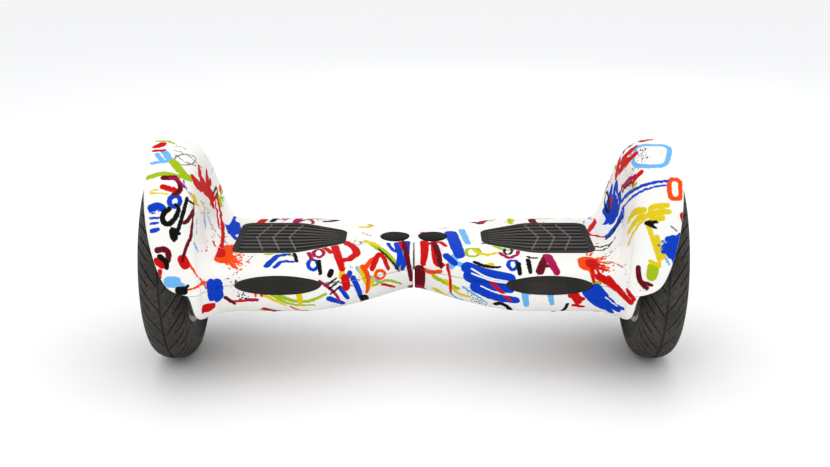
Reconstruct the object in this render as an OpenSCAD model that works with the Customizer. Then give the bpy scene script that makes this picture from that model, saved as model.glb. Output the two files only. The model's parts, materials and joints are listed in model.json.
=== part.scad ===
// Two-wheeled self-balancing board: two twisting halves on one pivot tube, a hub motor wheel at each end.
// X runs along the board, the front faces -Y, Z is up, and the origin is on the floor under the middle.

/* [Overall] */
// Length over both tyres
overall_l = 646; // [610:1:780]
// Gap between the two halves at the middle
centre_gap = 2; // [1:0.5:4]
// Gap between upper and lower shells
seam = 0.6; // [0.4:0.1:1.5]
// Wall of the plastic shells
shell_t = 3; // [2.4:0.1:4]

/* [Wheels] */
// Outside diameter of a tyre
tyre_d = 254; // [230:1:310]
// Width of a tyre
tyre_w = 55; // [50:1:64]
// Diameter of the rim under the tyre bead
rim_d = 152; // [140:1:170]
// Radial gap from the tread to the fender skin
fender_gap = 21.5; // [12:0.5:26]
// Gap from the tyre's inner side to the body's end wall
end_gap = 15; // [12:0.5:24]
// Diameter of the motor axle
axle_d = 16; // [13:0.5:20]
// Radial running clearance of the bearings and the pivot
run_gap = 0.04; // [0.02:0.01:0.08]

/* [Body] */
// Depth of the body at the foot decks
deck_d = 222; // [200:1:268]
// Depth of the body at the waist
waist_d = 102; // [86:1:124]
// Height of the decks over the axle line
deck_top = 24.5; // [24.5:0.5:34]
// Reach of the decks' undersides below the axle line
deck_low = 50; // [48:0.5:62]
// Height of the waist over the axle line
waist_top = 26; // [26:0.5:34]
// Reach of the waist's underside below the axle line
waist_low = 36; // [34:0.5:46]
// Outside diameter of the centre pivot tube
tube_d = 34; // [28:0.5:35]

/* [Foot pads] */
// Length of a foot pad
pad_l = 135; // [110:1:150]
// Width of a foot pad
pad_w = 123; // [100:1:140]
// Distance from a pad's outer edge to the end wall
pad_inset = 34; // [30:0.5:50]
// How far a pad can be pressed
pad_travel = 1.5; // [1:0.1:2]
// Height of a pad over the deck
pad_proud = 0.5; // [0.3:0.1:1.5]

/* [Lights and fittings] */
// Length of an oval light
light_l = 101; // [80:1:116]
// Height of an oval light
light_h = 23; // [18:0.5:26]
// Size of an indicator window along the board
window_l = 36; // [28:1:40]
// Size of an indicator window across the board
window_w = 40; // [30:1:46]
// Diameter of the charging socket's bore
socket_d = 12; // [10:0.5:14]
// Depth of the charging socket's bore
socket_depth = 9; // [7:0.5:12]
// Diameter of the power button
button_d = 14; // [11:0.5:16]
// How far the power button can be pressed
button_travel = 1.5; // [1:0.1:2]

/* [Hidden] */
$fn = 64;
eps = 0.01;

// places along one half, all measured from the middle of the board
axle_z = tyre_d / 2;
wheel_x = overall_l / 2 - tyre_w / 2;
end_x = wheel_x - tyre_w / 2 - end_gap;
half_gap = centre_gap / 2;
pad_out_x = end_x - pad_inset;
pad_in_x = pad_out_x - pad_l;
light_x = end_x - 94;
window_x = half_gap + 4.5 + window_l / 2;

// shell outline
fender_r = tyre_d / 2 + fender_gap;
flank_x = end_x + 5;         // where the fender's flank stands at the very top
flank_shift = 30;            // how far the flank leans in at the front and the back
fillet_l = 22;               // run of the hollow curve from deck to flank
flank_foot = 0.2;            // share of the fender's rise that the hollow curve takes
flank_head = 0.69;           // share at which the rounded shoulder starts
lip_top_x = overall_l / 2 - 3;
lip_back = 41;               // how far the lip sits back at the front and the back
lip_decay = 29;              // degrees over which it comes forward
lip_corner = 18;
lip_corner_decay = 1.6;
waist_run = 9;               // half-length of the straight waist
flare_l = 121;               // run of the flare from waist to deck
flare_soft = 8;
flare_power = 1.6;
end_r = axle_d / 2 + 3;      // opening in the end walls for the axle
centre_r = tube_d / 2 + 1.5; // opening in the centre walls for the pivot tube

// how far the body has spread from waist (0) to deck (1)
function spread(x) =
    let (u = (x - waist_run + sqrt(pow(x - waist_run, 2) + pow(flare_soft, 2))) / 2 / flare_l)
    u >= 1 ? 1 : 1 - pow(1 - u, flare_power);
function mix(a, b, t) = a + (b - a) * t;
function half_depth(x) = mix(waist_d, deck_d, spread(x)) / 2;
function top_h(x) = mix(waist_top, deck_top, spread(x));
function low_h(x) = mix(waist_low, deck_low, spread(x));
function top_power(x) = mix(2.2, 4, spread(x));
function low_power(x) = mix(2.2, 3, spread(x));
// radius of a rounded section at angle a from the horizontal, and its height at y
function section_r(a, y_half, h, n) =
    1 / pow(pow(abs(cos(a)) / y_half, n) + pow(abs(sin(a)) / h, n), 1 / n);
function section_h(y, y_half, h, n) = h * pow(max(0, 1 - pow(abs(y) / y_half, n)), 1 / n);
function deck_r(a, x) = section_r(a, half_depth(x), top_h(x), top_power(x));
function deck_z(x, y) = section_h(y, half_depth(x), top_h(x), top_power(x));
function floor_z(x, y) = -section_h(y, half_depth(x), low_h(x), low_power(x));
function face_y(x, z) = z > 0 ? section_h(z, top_h(x), half_depth(x), top_power(x))
    : section_h(z, low_h(x), half_depth(x), low_power(x));

// where the flank and the lip stand at angle a
function lean(a) = pow(1 - abs(sin(a)), 1.5);
function foot_x(a) = flank_x - flank_shift * lean(a);
function deck_end(a) = foot_x(a) - fillet_l;
function flank_run(a) = mix(2, 16, lean(a));
function lip_x(a) = let (b = min(a, 180 - a))
    lip_top_x - lip_back * exp(-b / lip_decay) - lip_corner * exp(-b / lip_corner_decay);
function lip_run(a) = mix(4, 10, abs(sin(a)));
function lip_drop(a) = mix(4, 7, abs(sin(a)));
function fender_blend(a, x, w) = mix(deck_r(a, x), fender_r, w);

centre_steps = [[0, 1.5], [0.5, 0.5], [1.5, 0]];
deck_n = 10;
fillet_n = 5;
flank_n = 2;
shoulder_n = 7;
lip_n = 4;
row_n = 30;
// rows of the shells, closer together towards the front and the back
function row_angle(j) = let (u = j / row_n) 180 * mix(u, (1 - cos(180 * u)) / 2, 0.4);

// outer line [x, radius] of the upper shell in the plane at angle a
function upper_line(a) = let (
        x0 = half_gap + 1.5, xd = deck_end(a), xf = foot_x(a), xh = xf + flank_run(a),
        xs = lip_x(a) - lip_run(a))
    concat(
        [for (s = centre_steps) [half_gap + s[0], deck_r(a, half_gap) - s[1]]],
        [for (i = [1:deck_n - 1]) let (x = mix(x0, xd, i / deck_n)) [x, deck_r(a, x)]],
        [for (i = [0:fillet_n - 1]) let (t = 90 * i / fillet_n, x = xd + fillet_l * sin(t))
            [x, fender_blend(a, x, flank_foot * (1 - cos(t)))]],
        [for (i = [0:flank_n - 1]) let (t = i / flank_n, x = mix(xf, xh, t))
            [x, fender_blend(a, x, mix(flank_foot, flank_head, t))]],
        [for (i = [0:shoulder_n - 1]) let (t = 90 * i / shoulder_n, x = xs - (xs - xh) * pow(cos(t), 0.8))
            [x, fender_blend(a, x, mix(flank_head, 1, pow(sin(t), 0.8)))]],
        [for (i = [0:lip_n]) let (t = 90 * i / lip_n)
            [xs + lip_run(a) * sin(t), fender_r - lip_drop(a) * (1 - cos(t))]]);
first_fillet = len(centre_steps) + deck_n - 1;
// the same point moved inwards by one wall
function inward(line, i, t) = let (
        d = line[min(len(line) - 1, i + 1)] - line[max(0, i - 1)], l = norm(d))
    [line[i][0] + t * d[1] / l, line[i][1] - t * d[0] / l];
function inner_line(line, t) = [for (i = [2:len(line) - 1]) inward(line, i, t)];

inner_n = 10;
// closed loop of the upper shell: outside, lip, wheel side of the end wall, inside, centre wall
function upper_loop(a) = let (
        line = upper_line(a), last = len(line) - 1, under = inner_line(line, shell_t),
        x_in = end_x - shell_t, x_mid = half_gap + shell_t)
    concat(line,
        [for (i = [last:-1:first_fillet]) let (p = inward(line, i, shell_t)) [max(p[0], end_x), p[1]]],
        [[end_x, end_r], [x_in, end_r]],
        [for (i = [0:inner_n]) let (x = mix(x_in, x_mid, i / inner_n)) [x, lookup(x, under)]],
        [[x_mid, centre_r], [half_gap, centre_r]]);

seam_line = upper_line(0);
function low_r(a, x) = section_r(a, lookup(x, seam_line), low_h(x), low_power(x));
function low_end(a) = end_x + 6 * exp(-min(a, 180 - a) / 4);
low_edge = 4;
low_n = 13;
function lower_line(a) = let (xe = low_end(a) - low_edge, x0 = half_gap + 1.5) concat(
    [for (s = centre_steps) [half_gap + s[0], low_r(a, half_gap) - s[1]]],
    [for (i = [1:low_n]) let (x = mix(x0, xe, i / low_n)) [x, low_r(a, x)]],
    [for (t = [30:30:90]) [xe + low_edge * sin(t), low_r(a, xe) - low_edge * (1 - cos(t))]]);
function lower_loop(a) = let (
        line = lower_line(a), under = inner_line(line, shell_t),
        x_in = end_x - shell_t, x_mid = half_gap + shell_t)
    concat(line,
        [[low_end(a), end_r], [x_in, end_r]],
        [for (i = [0:inner_n]) let (x = mix(x_in, x_mid, i / inner_n)) [x, lookup(x, under)]],
        [[x_mid, centre_r], [half_gap, centre_r]]);

// solid from equal loops of points, one loop per row, closed by a face at each end
module swept(rows) {
    n = len(rows[0]);
    m = len(rows);
    points = [for (r = rows) each r];
    sides = [for (j = [0:m - 2], i = [0:n - 1]) let (k = (i + 1) % n)
        each [[j * n + i, j * n + k, (j + 1) * n + k], [j * n + i, (j + 1) * n + k, (j + 1) * n + i]]];
    polyhedron(points, concat(sides,
        [[for (i = [n - 1:-1:0]) i], [for (i = [0:n - 1]) (m - 1) * n + i]]), convexity = 10);
}

// elliptical patch over two heights given as functions of x and y, both rings by spokes
ring_n = 3;
spoke_n = 28;
module patch(cx, cy, rx, ry, top, low) {
    flat = [for (k = [1:ring_n], j = [0:spoke_n - 1]) let (f = k / ring_n, t = 360 * j / spoke_n)
        [cx + rx * f * cos(t), cy + ry * f * sin(t), f]];
    n = len(flat);
    points = concat([for (p = flat) [p[0], p[1], top(p[0], p[1], p[2])]],
        [for (p = flat) [p[0], p[1], low(p[0], p[1], p[2])]],
        [[cx, cy, top(cx, cy, 0)], [cx, cy, low(cx, cy, 0)]]);
    grid = [for (k = [0:ring_n - 2], j = [0:spoke_n - 1]) let (a = k * spoke_n + j,
            b = k * spoke_n + (j + 1) % spoke_n) each [[a, b + spoke_n, b], [a, a + spoke_n, b + spoke_n]]];
    hub = [for (j = [0:spoke_n - 1]) [2 * n, j, (j + 1) % spoke_n]];
    rim = [for (j = [0:spoke_n - 1]) let (a = n - spoke_n + j, b = n - spoke_n + (j + 1) % spoke_n)
        each [[a, a + n, b + n], [a, b + n, b]]];
    polyhedron(points, concat(
        [for (f = grid) [f[0], f[2], f[1]]], [for (f = grid) [f[0] + n, f[1] + n, f[2] + n]],
        [for (f = hub) [f[0], f[2], f[1]]], [for (f = hub) [2 * n + 1, f[1] + n, f[2] + n]],
        [for (f = rim) [f[0], f[2], f[1]]]), convexity = 4);
}

function ellipse_points(rx, ry, n) = [for (i = [0:n - 1]) [rx * cos(360 * i / n), ry * sin(360 * i / n)]];

module on_axle() translate([0, 0, axle_z]) children();
module half(side) on_axle() mirror([side < 0 ? 1 : 0, 0, 0]) children();
module x_cylinder(x0, x1, r) translate([x0, 0, 0]) rotate([0, 90, 0]) cylinder(h = x1 - x0, r = r);
module x_ring(x0, x1, r, bore) {
    difference() {
        x_cylinder(x0, x1, r);
        x_cylinder(x0 - 1, x1 + 1, bore);
    }
}
module x_lathe(points) rotate([0, 90, 0]) rotate_extrude($fn = 96) polygon(points);

/* ---- foot pads ---- */
pad_gap = 0.4;
pad_corner = 14;
pad_nose_w = 52;       // width of the inner end before its rounding
pad_nose_r = 18;
pad_taper = 58;        // length of the tapering part
pad_side_r = 46;
pad_flange = 3;
pad_top = deck_top + pad_proud;
flange_top = deck_top - shell_t - 1.3;
flange_t = 1.6;
// corners of the pad with their rounding radii, one side only
function pad_corners(g) = [
    [pad_out_x + g, pad_w / 2 + g, pad_corner + g],
    [pad_in_x + pad_taper, pad_w / 2 + g, pad_side_r + g],
    [pad_in_x - g, pad_nose_w / 2 + g / 2, pad_nose_r + g]];
arc_n = 8;
// points of the arc that rounds corner b between its neighbours a and c
function corner_arc(a, b, c, r) = let (
        p = [a[0] - b[0], a[1] - b[1]], q = [c[0] - b[0], c[1] - b[1]],
        u = p / norm(p), v = q / norm(q), half_turn = acos(u * v) / 2,
        m = (u + v) / norm(u + v), o = [b[0], b[1]] + m * r / sin(half_turn),
        s = [b[0], b[1]] + u * r / tan(half_turn) - o, e = [b[0], b[1]] + v * r / tan(half_turn) - o)
    [for (i = [0:arc_n]) let (w = s * (1 - i / arc_n) + e * i / arc_n) o + w / norm(w) * r];
function pad_outline(g) = let (
        side = pad_corners(g), back = [for (i = [2:-1:0]) [side[i][0], -side[i][1], side[i][2]]],
        all = concat(side, back), n = len(all))
    [for (i = [0:n - 1]) each corner_arc(all[(i + n - 1) % n], all[i], all[(i + 1) % n], all[i][2])];
switch_x = (pad_in_x + pad_out_x) / 2 + 12;
switch_y = pad_w / 2 - 24;
switch_board_t = 1.6;
blade_low = switch_board_t + pad_travel + 2.4;
module foot_pad() {
    color([0.20, 0.19, 0.18]) {
        translate([0, 0, flange_top - flange_t])
            linear_extrude(pad_top - flange_top + flange_t) polygon(pad_outline(0));
        translate([0, 0, flange_top - flange_t]) linear_extrude(flange_t) polygon(pad_outline(pad_flange));
        for (s = [-1, 1]) translate([switch_x - 1, s * switch_y - 5, blade_low])
            cube([2, 10, flange_top - flange_t - blade_low + eps]);
    }
}

/* ---- shells ---- */
light_fit = 0.3;
window_fit = 0.25;
screw_r = 2;
screw_head_r = 4;
screw_head_t = 2;
// shell screws in one half, as [x, y]
shell_screw_xy = [for (x = [end_x - 18, light_x + 9, light_x - 34], s = [-1, 1])
    [x, s * (deck_d / 2 - (x < light_x ? 46 : 36))]];
socket_x = light_x - 24;
socket_z = -light_h / 2 - 13.5;
socket_r = socket_d / 2 + 3;
button_x = light_x + 10;
button_z = -light_h / 2 - button_d / 2 - 4;
socket_face = face_y(socket_x, socket_z);
button_face = face_y(button_x, button_z);

module light_cutters() {
    for (s = [-1, 1]) translate([light_x, s * deck_d / 2, 0]) rotate([90, 0, 0])
        linear_extrude(deck_d / 4, center = true)
            polygon(ellipse_points(light_l / 2 + light_fit, light_h / 2 + light_fit, 64));
}

module upper_shell(side) {
    color([0.93, 0.92, 0.89]) half(side) resize([0, 0, 0]) difference() {
        translate([0, 0, seam / 2]) swept([for (j = [0:row_n]) let (a = row_angle(j))
            [for (p = upper_loop(a)) [p[0], p[1] * cos(a), p[1] * (j == row_n ? 0 : sin(a))]]]);
        linear_extrude(2 * deck_top) polygon(pad_outline(pad_gap));
        translate([window_x, 0, 0]) linear_extrude(2 * waist_top)
            polygon(ellipse_points(window_l / 2 + window_fit, window_w / 2 + window_fit, 64));
        light_cutters();
    }
}

module lower_shell(side) {
    color([0.89, 0.88, 0.84]) half(side) resize([0, 0, 0]) difference() {
        translate([0, 0, -seam / 2]) swept([for (j = [row_n:-1:0]) let (a = row_angle(j))
            [for (p = lower_loop(a)) [p[0], p[1] * cos(a), -p[1] * (j == row_n ? 0 : sin(a))]]]);
        light_cutters();
        for (p = shell_screw_xy) translate([p[0], p[1], 0]) {
            translate([0, 0, -2 * deck_low]) cylinder(h = 2 * deck_low - 20, r = screw_r + 0.2);
            translate([0, 0, floor_z(p[0], p[1]) + screw_head_t - 2 * deck_low])
                cylinder(h = 2 * deck_low, r = screw_head_r + 0.3);
        }
        if (side > 0) {
            translate([socket_x, socket_face + 10, socket_z]) rotate([90, 0, 0])
                cylinder(h = 24, r = socket_r + 0.05);
            translate([socket_x, socket_face + flange_in, socket_z]) rotate([-90, 0, 0])
                cylinder(h = 24, r = flange_r + 0.4);
            translate([button_x, button_face + 10, button_z]) rotate([90, 0, 0])
                cylinder(h = 24, r = button_d / 2 + 0.4);
        }
    }
}

module shell_screws(side) {
    color("silver") half(side) for (p = shell_screw_xy) translate([p[0], p[1], 0]) {
        translate([0, 0, floor_z(p[0], p[1]) - 0.2 - eps]) cylinder(h = screw_head_t + 0.1, r = screw_head_r);
        translate([0, 0, floor_z(p[0], p[1]) + screw_head_t - 0.3]) cylinder(h = 14, r = screw_r);
    }
}

/* ---- windows and lights ---- */
module window(side) {
    color([0.08, 0.08, 0.09]) half(side)
        patch(window_x, 0, window_l / 2, window_w / 2,
            function(x, y, f) deck_z(x, y) + seam / 2 + 0.6 * (1 - f * f) + 0.1,
            function(x, y, f) deck_z(x, y) + seam / 2 - shell_t + 0.4);
}

light_bulge = 1.6;
light_t = 7;
module oval_light(side, way) {
    color([0.16, 0.15, 0.14]) half(side) rotate([way < 0 ? 90 : -90, 0, 0])
        patch(light_x, 0, light_l / 2, light_h / 2,
            function(x, y, f) face_y(x, -way * y) + light_bulge * (1 - f * f) + 0.2,
            function(x, y, f) deck_d / 2 - light_t);
}

/* ---- pivot ---- */
bush_t = 2;
sleeve_x0 = half_gap + shell_t + 1.5;
sleeve_x1 = window_x + 46;
sleeve_r = min(tube_d / 2 + bush_t + 2.5, waist_top - shell_t - 0.8);
tube_reach = sleeve_x1 + 6;
tube_bore = tube_d / 2 - 4;
ring_t = 2;

module centre_tube() {
    color([0.55, 0.56, 0.58]) on_axle() difference() {
        x_cylinder(-sleeve_x1, tube_reach, tube_d / 2);
        x_cylinder(-sleeve_x1 - 1, tube_reach + 1, tube_bore);
        difference() {
            x_cylinder(sleeve_x1 + 0.5, sleeve_x1 + 0.5 + ring_t, tube_d / 2 + 1);
            x_cylinder(sleeve_x1, sleeve_x1 + 1 + ring_t, tube_d / 2 - 1.2);
        }
    }
}
module retaining_ring() {
    color("dimgray") on_axle() difference() {
        x_ring(sleeve_x1 + 0.7, sleeve_x1 + 0.3 + ring_t, tube_d / 2 + 2, tube_d / 2 - 1.15);
        translate([sleeve_x1, -3, -tube_d]) cube([ring_t + 2, 6, tube_d]);
    }
}
module pivot_bushes() {
    color([0.86, 0.80, 0.62]) half(1) for (x = [sleeve_x0, sleeve_x1 - 16])
        x_ring(x, x + 16, tube_d / 2 + bush_t, tube_d / 2 + run_gap);
}

/* ---- chassis ---- */
plate_top = -7;
plate_t = 7;
plate_low = plate_top - plate_t;
plate_w = 2 * switch_y + 24;
block_x0 = end_x - 52;
block_x1 = end_x - shell_t - 2;
block_w = 56;
block_low = -24;
clamp_h = axle_d / 2 + 4;
clamp_screw_r = 3;
clamp_screw_xy = [for (x = [block_x0 + 9, block_x1 - 9], s = [-1, 1]) [x, s * (block_w / 2 - 8)]];
rib_t = 5;
module chassis(side) {
    fixed = side < 0;
    color([0.72, 0.73, 0.74]) half(side) difference() {
        union() {
            x_cylinder(sleeve_x0, sleeve_x1, sleeve_r);
            translate([sleeve_x1 - 34, -plate_w / 4, plate_low]) cube([40, plate_w / 2, plate_t]);
            translate([sleeve_x1 - 2, -plate_w / 2, plate_low])
                cube([block_x1 - sleeve_x1 + 2, plate_w, plate_t]);
            translate([block_x0, -block_w / 2, block_low]) cube([block_x1 - block_x0, block_w, -block_low]);
            for (s = [-1, 1]) {
                translate([sleeve_x1 - 2, s * (plate_w / 2 - rib_t / 2) - rib_t / 2, plate_low])
                    cube([block_x1 - sleeve_x1 + 2, rib_t, plate_t + 5]);
                translate([switch_x, s * switch_y, plate_top - 1]) cylinder(h = -plate_top + 1, r = 7);
            }
            for (p = shell_screw_xy) {
                translate([p[0], p[1], floor_z(p[0], p[1]) + shell_t + 0.4])
                    cylinder(h = plate_top - floor_z(p[0], p[1]) - shell_t - 0.4, r = 5);
                translate([p[0] - 5, min(0, p[1]), plate_low]) cube([10, abs(p[1]), plate_t]);
            }
        }
        x_cylinder(sleeve_x0 - 1, sleeve_x1 + 1, tube_d / 2 + (fixed ? 0 : bush_t));
        x_cylinder(sleeve_x1, tube_reach + 2, tube_d / 2 + 4);
        x_cylinder(block_x0 - 1, block_x1 + 1, axle_d / 2);
        for (p = clamp_screw_xy) translate([p[0], p[1], block_low - 1])
            cylinder(h = -block_low + 2, r = clamp_screw_r - 0.4);
        for (p = shell_screw_xy) translate([p[0], p[1], floor_z(p[0], p[1])]) cylinder(h = 17, r = screw_r);
    }
}

module axle_clamp(side) {
    color([0.66, 0.67, 0.69]) half(side) difference() {
        translate([block_x0, -block_w / 2, 0.5]) cube([block_x1 - block_x0, block_w, clamp_h - 0.5]);
        x_cylinder(block_x0 - 1, block_x1 + 1, axle_d / 2);
        for (p = clamp_screw_xy) translate([p[0], p[1], -1]) cylinder(h = clamp_h + 2, r = clamp_screw_r + 0.2);
    }
}
module clamp_screws(side) {
    color([0.35, 0.35, 0.37]) half(side) for (p = clamp_screw_xy) translate([p[0], p[1], 0]) {
        translate([0, 0, clamp_h]) cylinder(h = 3, r = 5);
        translate([0, 0, 0.25]) cylinder(h = clamp_h, r = clamp_screw_r);
        translate([0, 0, block_low + 4]) cylinder(h = -block_low - 3.75, r = clamp_screw_r - 0.4);
    }
}

/* ---- hub motor ---- */
rim_r = rim_d / 2;
rim_w = tyre_w - 13;
rim_flange = 6;
rotor_r = rim_r - 11;
magnet_t = 3;
air_gap = 0.8;
stator_r = rotor_r - magnet_t - air_gap;
stator_w = rim_w - 16;
cover_t = 4;
bearing_r = axle_d / 2 + 8;
bearing_w = 9;
cover_x = rim_w / 2;
boss_r = bearing_r + 5;
tooth_n = 18;
magnet_n = 20;

// rim of the wheel, with a flange on each side of the tyre bead
module rim(side) {
    color([0.55, 0.55, 0.54]) half(side) translate([wheel_x, 0, 0]) x_lathe([
        [rotor_r, -rim_w / 2], [rim_r + rim_flange, -rim_w / 2], [rim_r + rim_flange, -rim_w / 2 + 2.5],
        [rim_r, -rim_w / 2 + 4], [rim_r, -rim_w / 2 + 10], [rim_r - 5, -rim_w / 2 + 14],
        [rim_r - 5, rim_w / 2 - 14], [rim_r, rim_w / 2 - 10], [rim_r, rim_w / 2 - 4],
        [rim_r + rim_flange, rim_w / 2 - 2.5], [rim_r + rim_flange, rim_w / 2], [rotor_r, rim_w / 2]]);
}

// tyre casing: rounded crown with a centre groove, side walls drawn in to the beads
tyre_t = 5;
wide_r = mix(rim_r, tyre_d / 2, 0.5);
function tyre_half(w, top, low_w, low_r) = concat(
    [for (i = [0:3]) let (t = 90 * i / 4) [mix(low_r, wide_r, sin(t)), w - (w - low_w) * cos(t)]],
    [for (i = [0:9]) let (t = 90 * i / 10)
        [wide_r + (top - wide_r) * pow(sin(t), 0.87), w * pow(cos(t), 0.87)]]);
function flip(points) = [for (i = [len(points) - 1:-1:0]) [points[i][0], -points[i][1]]];
function backward(points) = [for (i = [len(points) - 1:-1:0]) points[i]];
groove_w = 2.4;
groove_t = 1.6;
module tyre(side) {
    out = tyre_half(tyre_w / 2, tyre_d / 2, rim_w / 2 - 4, rim_r);
    in = tyre_half(tyre_w / 2 - tyre_t, tyre_d / 2 - tyre_t, rim_w / 2 - 10, rim_r);
    groove = [[tyre_d / 2 - 0.02, groove_w / 2], [tyre_d / 2 - groove_t, groove_w / 2],
        [tyre_d / 2 - groove_t, -groove_w / 2], [tyre_d / 2 - 0.02, -groove_w / 2]];
    color([0.17, 0.16, 0.15]) half(side) translate([wheel_x, 0, 0])
        x_lathe(concat(out, groove, flip(out), flip(backward(in)), backward(in)));
}

module magnets(side) {
    color([0.42, 0.43, 0.46]) half(side) translate([wheel_x, 0, 0]) {
        x_ring(-stator_w / 2 - 1, stator_w / 2 + 1, rotor_r, rotor_r - magnet_t / 2);
        for (i = [0:magnet_n - 1]) rotate([360 * i / magnet_n, 0, 0]) intersection() {
            x_ring(-stator_w / 2, stator_w / 2, rotor_r - magnet_t / 2 + 0.2, rotor_r - magnet_t);
            translate([-stator_w, -rotor_r * sin(150 / magnet_n), 0])
                cube([2 * stator_w, 2 * rotor_r * sin(150 / magnet_n), rotor_r]);
        }
    }
}

module stator(side) {
    color([0.36, 0.36, 0.38]) half(side) translate([wheel_x, 0, 0]) {
        x_ring(-stator_w / 2, stator_w / 2, stator_r - 16, axle_d / 2);
        for (i = [0:tooth_n - 1]) rotate([360 * i / tooth_n, 0, 0]) {
            translate([-stator_w / 2, -1.8, stator_r - 17]) cube([stator_w, 3.6, 15]);
            intersection() {
                x_ring(-stator_w / 2, stator_w / 2, stator_r, stator_r - 2.6);
                translate([-stator_w, -7.4, 0]) cube([2 * stator_w, 14.8, stator_r]);
            }
        }
    }
}
module coils(side) {
    color([0.72, 0.38, 0.20]) half(side) translate([wheel_x, 0, 0])
        for (i = [0:tooth_n - 1]) rotate([360 * i / tooth_n, 0, 0]) difference() {
            translate([-stator_w / 2 - 3, -4.6, stator_r - 14]) cube([stator_w + 6, 9.2, 10.5]);
            translate([-stator_w / 2, -1.8, stator_r - 15]) cube([stator_w, 3.6, 13]);
        }
}

module axle(side) {
    color([0.62, 0.62, 0.63]) half(side) difference() {
        x_cylinder(block_x0, wheel_x + cover_x + 1, axle_d / 2);
        x_cylinder(block_x0 - 1, wheel_x - stator_w / 2 - 2, axle_d / 2 - 4);
    }
}
module bearings(side) {
    color([0.75, 0.75, 0.77]) half(side) for (s = [-1, 1])
        translate([wheel_x + s * (cover_x + cover_t - 1 - bearing_w / 2), 0, 0])
            x_ring(-bearing_w / 2, bearing_w / 2, bearing_r, axle_d / 2 + run_gap);
}

screw_n = 6;
cover_screw_r = 1.8;
cover_screw_c = (rotor_r + rim_r) / 2;
// motor cover: a disc with a bearing boss; the inner one lets the axle through
module cover(way, open) {
    difference() {
        mirror([way > 0 ? 0 : 1, 0, 0]) x_lathe(concat(
            [[open ? axle_d / 2 + 0.8 : 0, cover_x + cover_t + 1.5]],
            [[boss_r - 1, cover_x + cover_t + 1.5], [boss_r + 4, cover_x + cover_t],
                [rim_r - 4, cover_x + cover_t], [rim_r - 1, cover_x + 2], [rim_r - 1, cover_x],
                [boss_r, cover_x], [boss_r, cover_x + cover_t - bearing_w - 1],
                [bearing_r, cover_x + cover_t - bearing_w - 1], [bearing_r, cover_x + cover_t - 1],
                [open ? axle_d / 2 + 0.8 : 0, cover_x + cover_t - 1]]));
        for (i = [0:screw_n - 1]) rotate([360 * (i + 0.5) / screw_n, 0, 0])
            translate([0, 0, cover_screw_c]) x_cylinder(way > 0 ? cover_x - 2 : -cover_x - cover_t - 2,
                way > 0 ? cover_x + cover_t + 2 : -cover_x + 2, cover_screw_r);
    }
}
module inner_cover(side) color([0.58, 0.57, 0.55]) half(side) translate([wheel_x, 0, 0]) cover(-1, true);
module outer_cover(side) color([0.58, 0.57, 0.55]) half(side) translate([wheel_x, 0, 0]) cover(1, false);
module cover_screws(side) {
    color([0.30, 0.30, 0.32]) half(side) translate([wheel_x, 0, 0])
        for (s = [-1, 1], i = [0:screw_n - 1]) rotate([360 * (i + 0.5) / screw_n, 0, 0])
            mirror([s > 0 ? 0 : 1, 0, 0]) translate([0, 0, cover_screw_c]) {
                x_cylinder(cover_x + cover_t, cover_x + cover_t + 1.8, 3.2);
                x_cylinder(cover_x, cover_x + cover_t + eps, cover_screw_r);
            }
}
valve_t = 3.4;
module valve(side) {
    color([0.25, 0.24, 0.22]) half(side) translate([wheel_x + rim_w / 2, 0, rim_r + rim_flange / 2])
        rotate([0, 90, 0]) {
            cylinder(h = valve_t, r = 2.2);
            translate([0, 0, valve_t]) cylinder(h = 2.6, r = 2.8);
        }
}

/* ---- electrics ---- */
battery_w = 92;
battery_x0 = sleeve_x1 + 8;
battery_l = block_x0 - battery_x0 - 4;
battery_low = floor_z(battery_x0, battery_w / 2) + shell_t + 1.2;
battery_h = plate_low - 0.6 - battery_low;
module battery_pack() {
    color([0.16, 0.30, 0.56]) half(-1) translate([battery_x0, -battery_w / 2, battery_low])
        linear_extrude(battery_h) polygon([[4, 0], [battery_l - 4, 0], [battery_l, 4],
            [battery_l, battery_w - 4], [battery_l - 4, battery_w], [4, battery_w],
            [0, battery_w - 4], [0, 4]]);
}
// strap over each long side of the battery, screwed up to the chassis plate
module battery_bracket() {
    color([0.62, 0.63, 0.64]) half(-1) for (s = [-1, 1], x = [battery_x0 + 24, battery_x0 + battery_l - 40])
        translate([x, s * (battery_w / 2 + 1.4) - 1, plate_low - 16]) {
            cube([14, 2, 16]);
            translate([0, s > 0 ? 0 : -8, 14]) cube([14, 10, 2]);
        }
}
board_l = 118;
board_w = 84;
board_x0 = sleeve_x1 + 12;
board_z = plate_low - 12;
module main_board() {
    color([0.10, 0.36, 0.22]) half(1) {
        translate([board_x0, -board_w / 2, board_z]) cube([board_l, board_w, 1.6]);
        for (i = [0:5]) translate([board_x0 + 12 + 17 * i, board_w / 2 - 16, board_z + 1.5]) cube([10, 8, 10.4]);
        for (i = [0:2]) translate([board_x0 + 20 + 30 * i, 0, board_z - 14]) cylinder(h = 14.1, r = 6);
        for (s = [-1, 1]) translate([board_x0 + 30 + 40 * s, -board_w / 2 + 16, board_z + 1.5]) cube([16, 9, 6]);
        translate([board_x0 + 50, -board_w / 2 + 20, board_z + 1.5]) cube([14, 14, 2]);
        for (x = [6, board_l - 6], s = [-1, 1]) translate([board_x0 + x, s * (board_w / 2 - 5), board_z + 1.5])
            cylinder(h = 10.5, r = 2.5);
    }
}
module gyro_board(side) {
    color([0.12, 0.30, 0.45]) half(side) translate([switch_x - 62, 0, plate_top]) {
        translate([0, 14, 2]) cube([34, 24, 1.6]);
        translate([12, 22, 3.5]) cube([6, 6, 1.4]);
        for (x = [3, 31], y = [17, 35]) translate([x, y, 0]) cylinder(h = 2.1, r = 1.8);
        translate([22, 18, 3.5]) cube([8, 12, 5]);
    }
}
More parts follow.
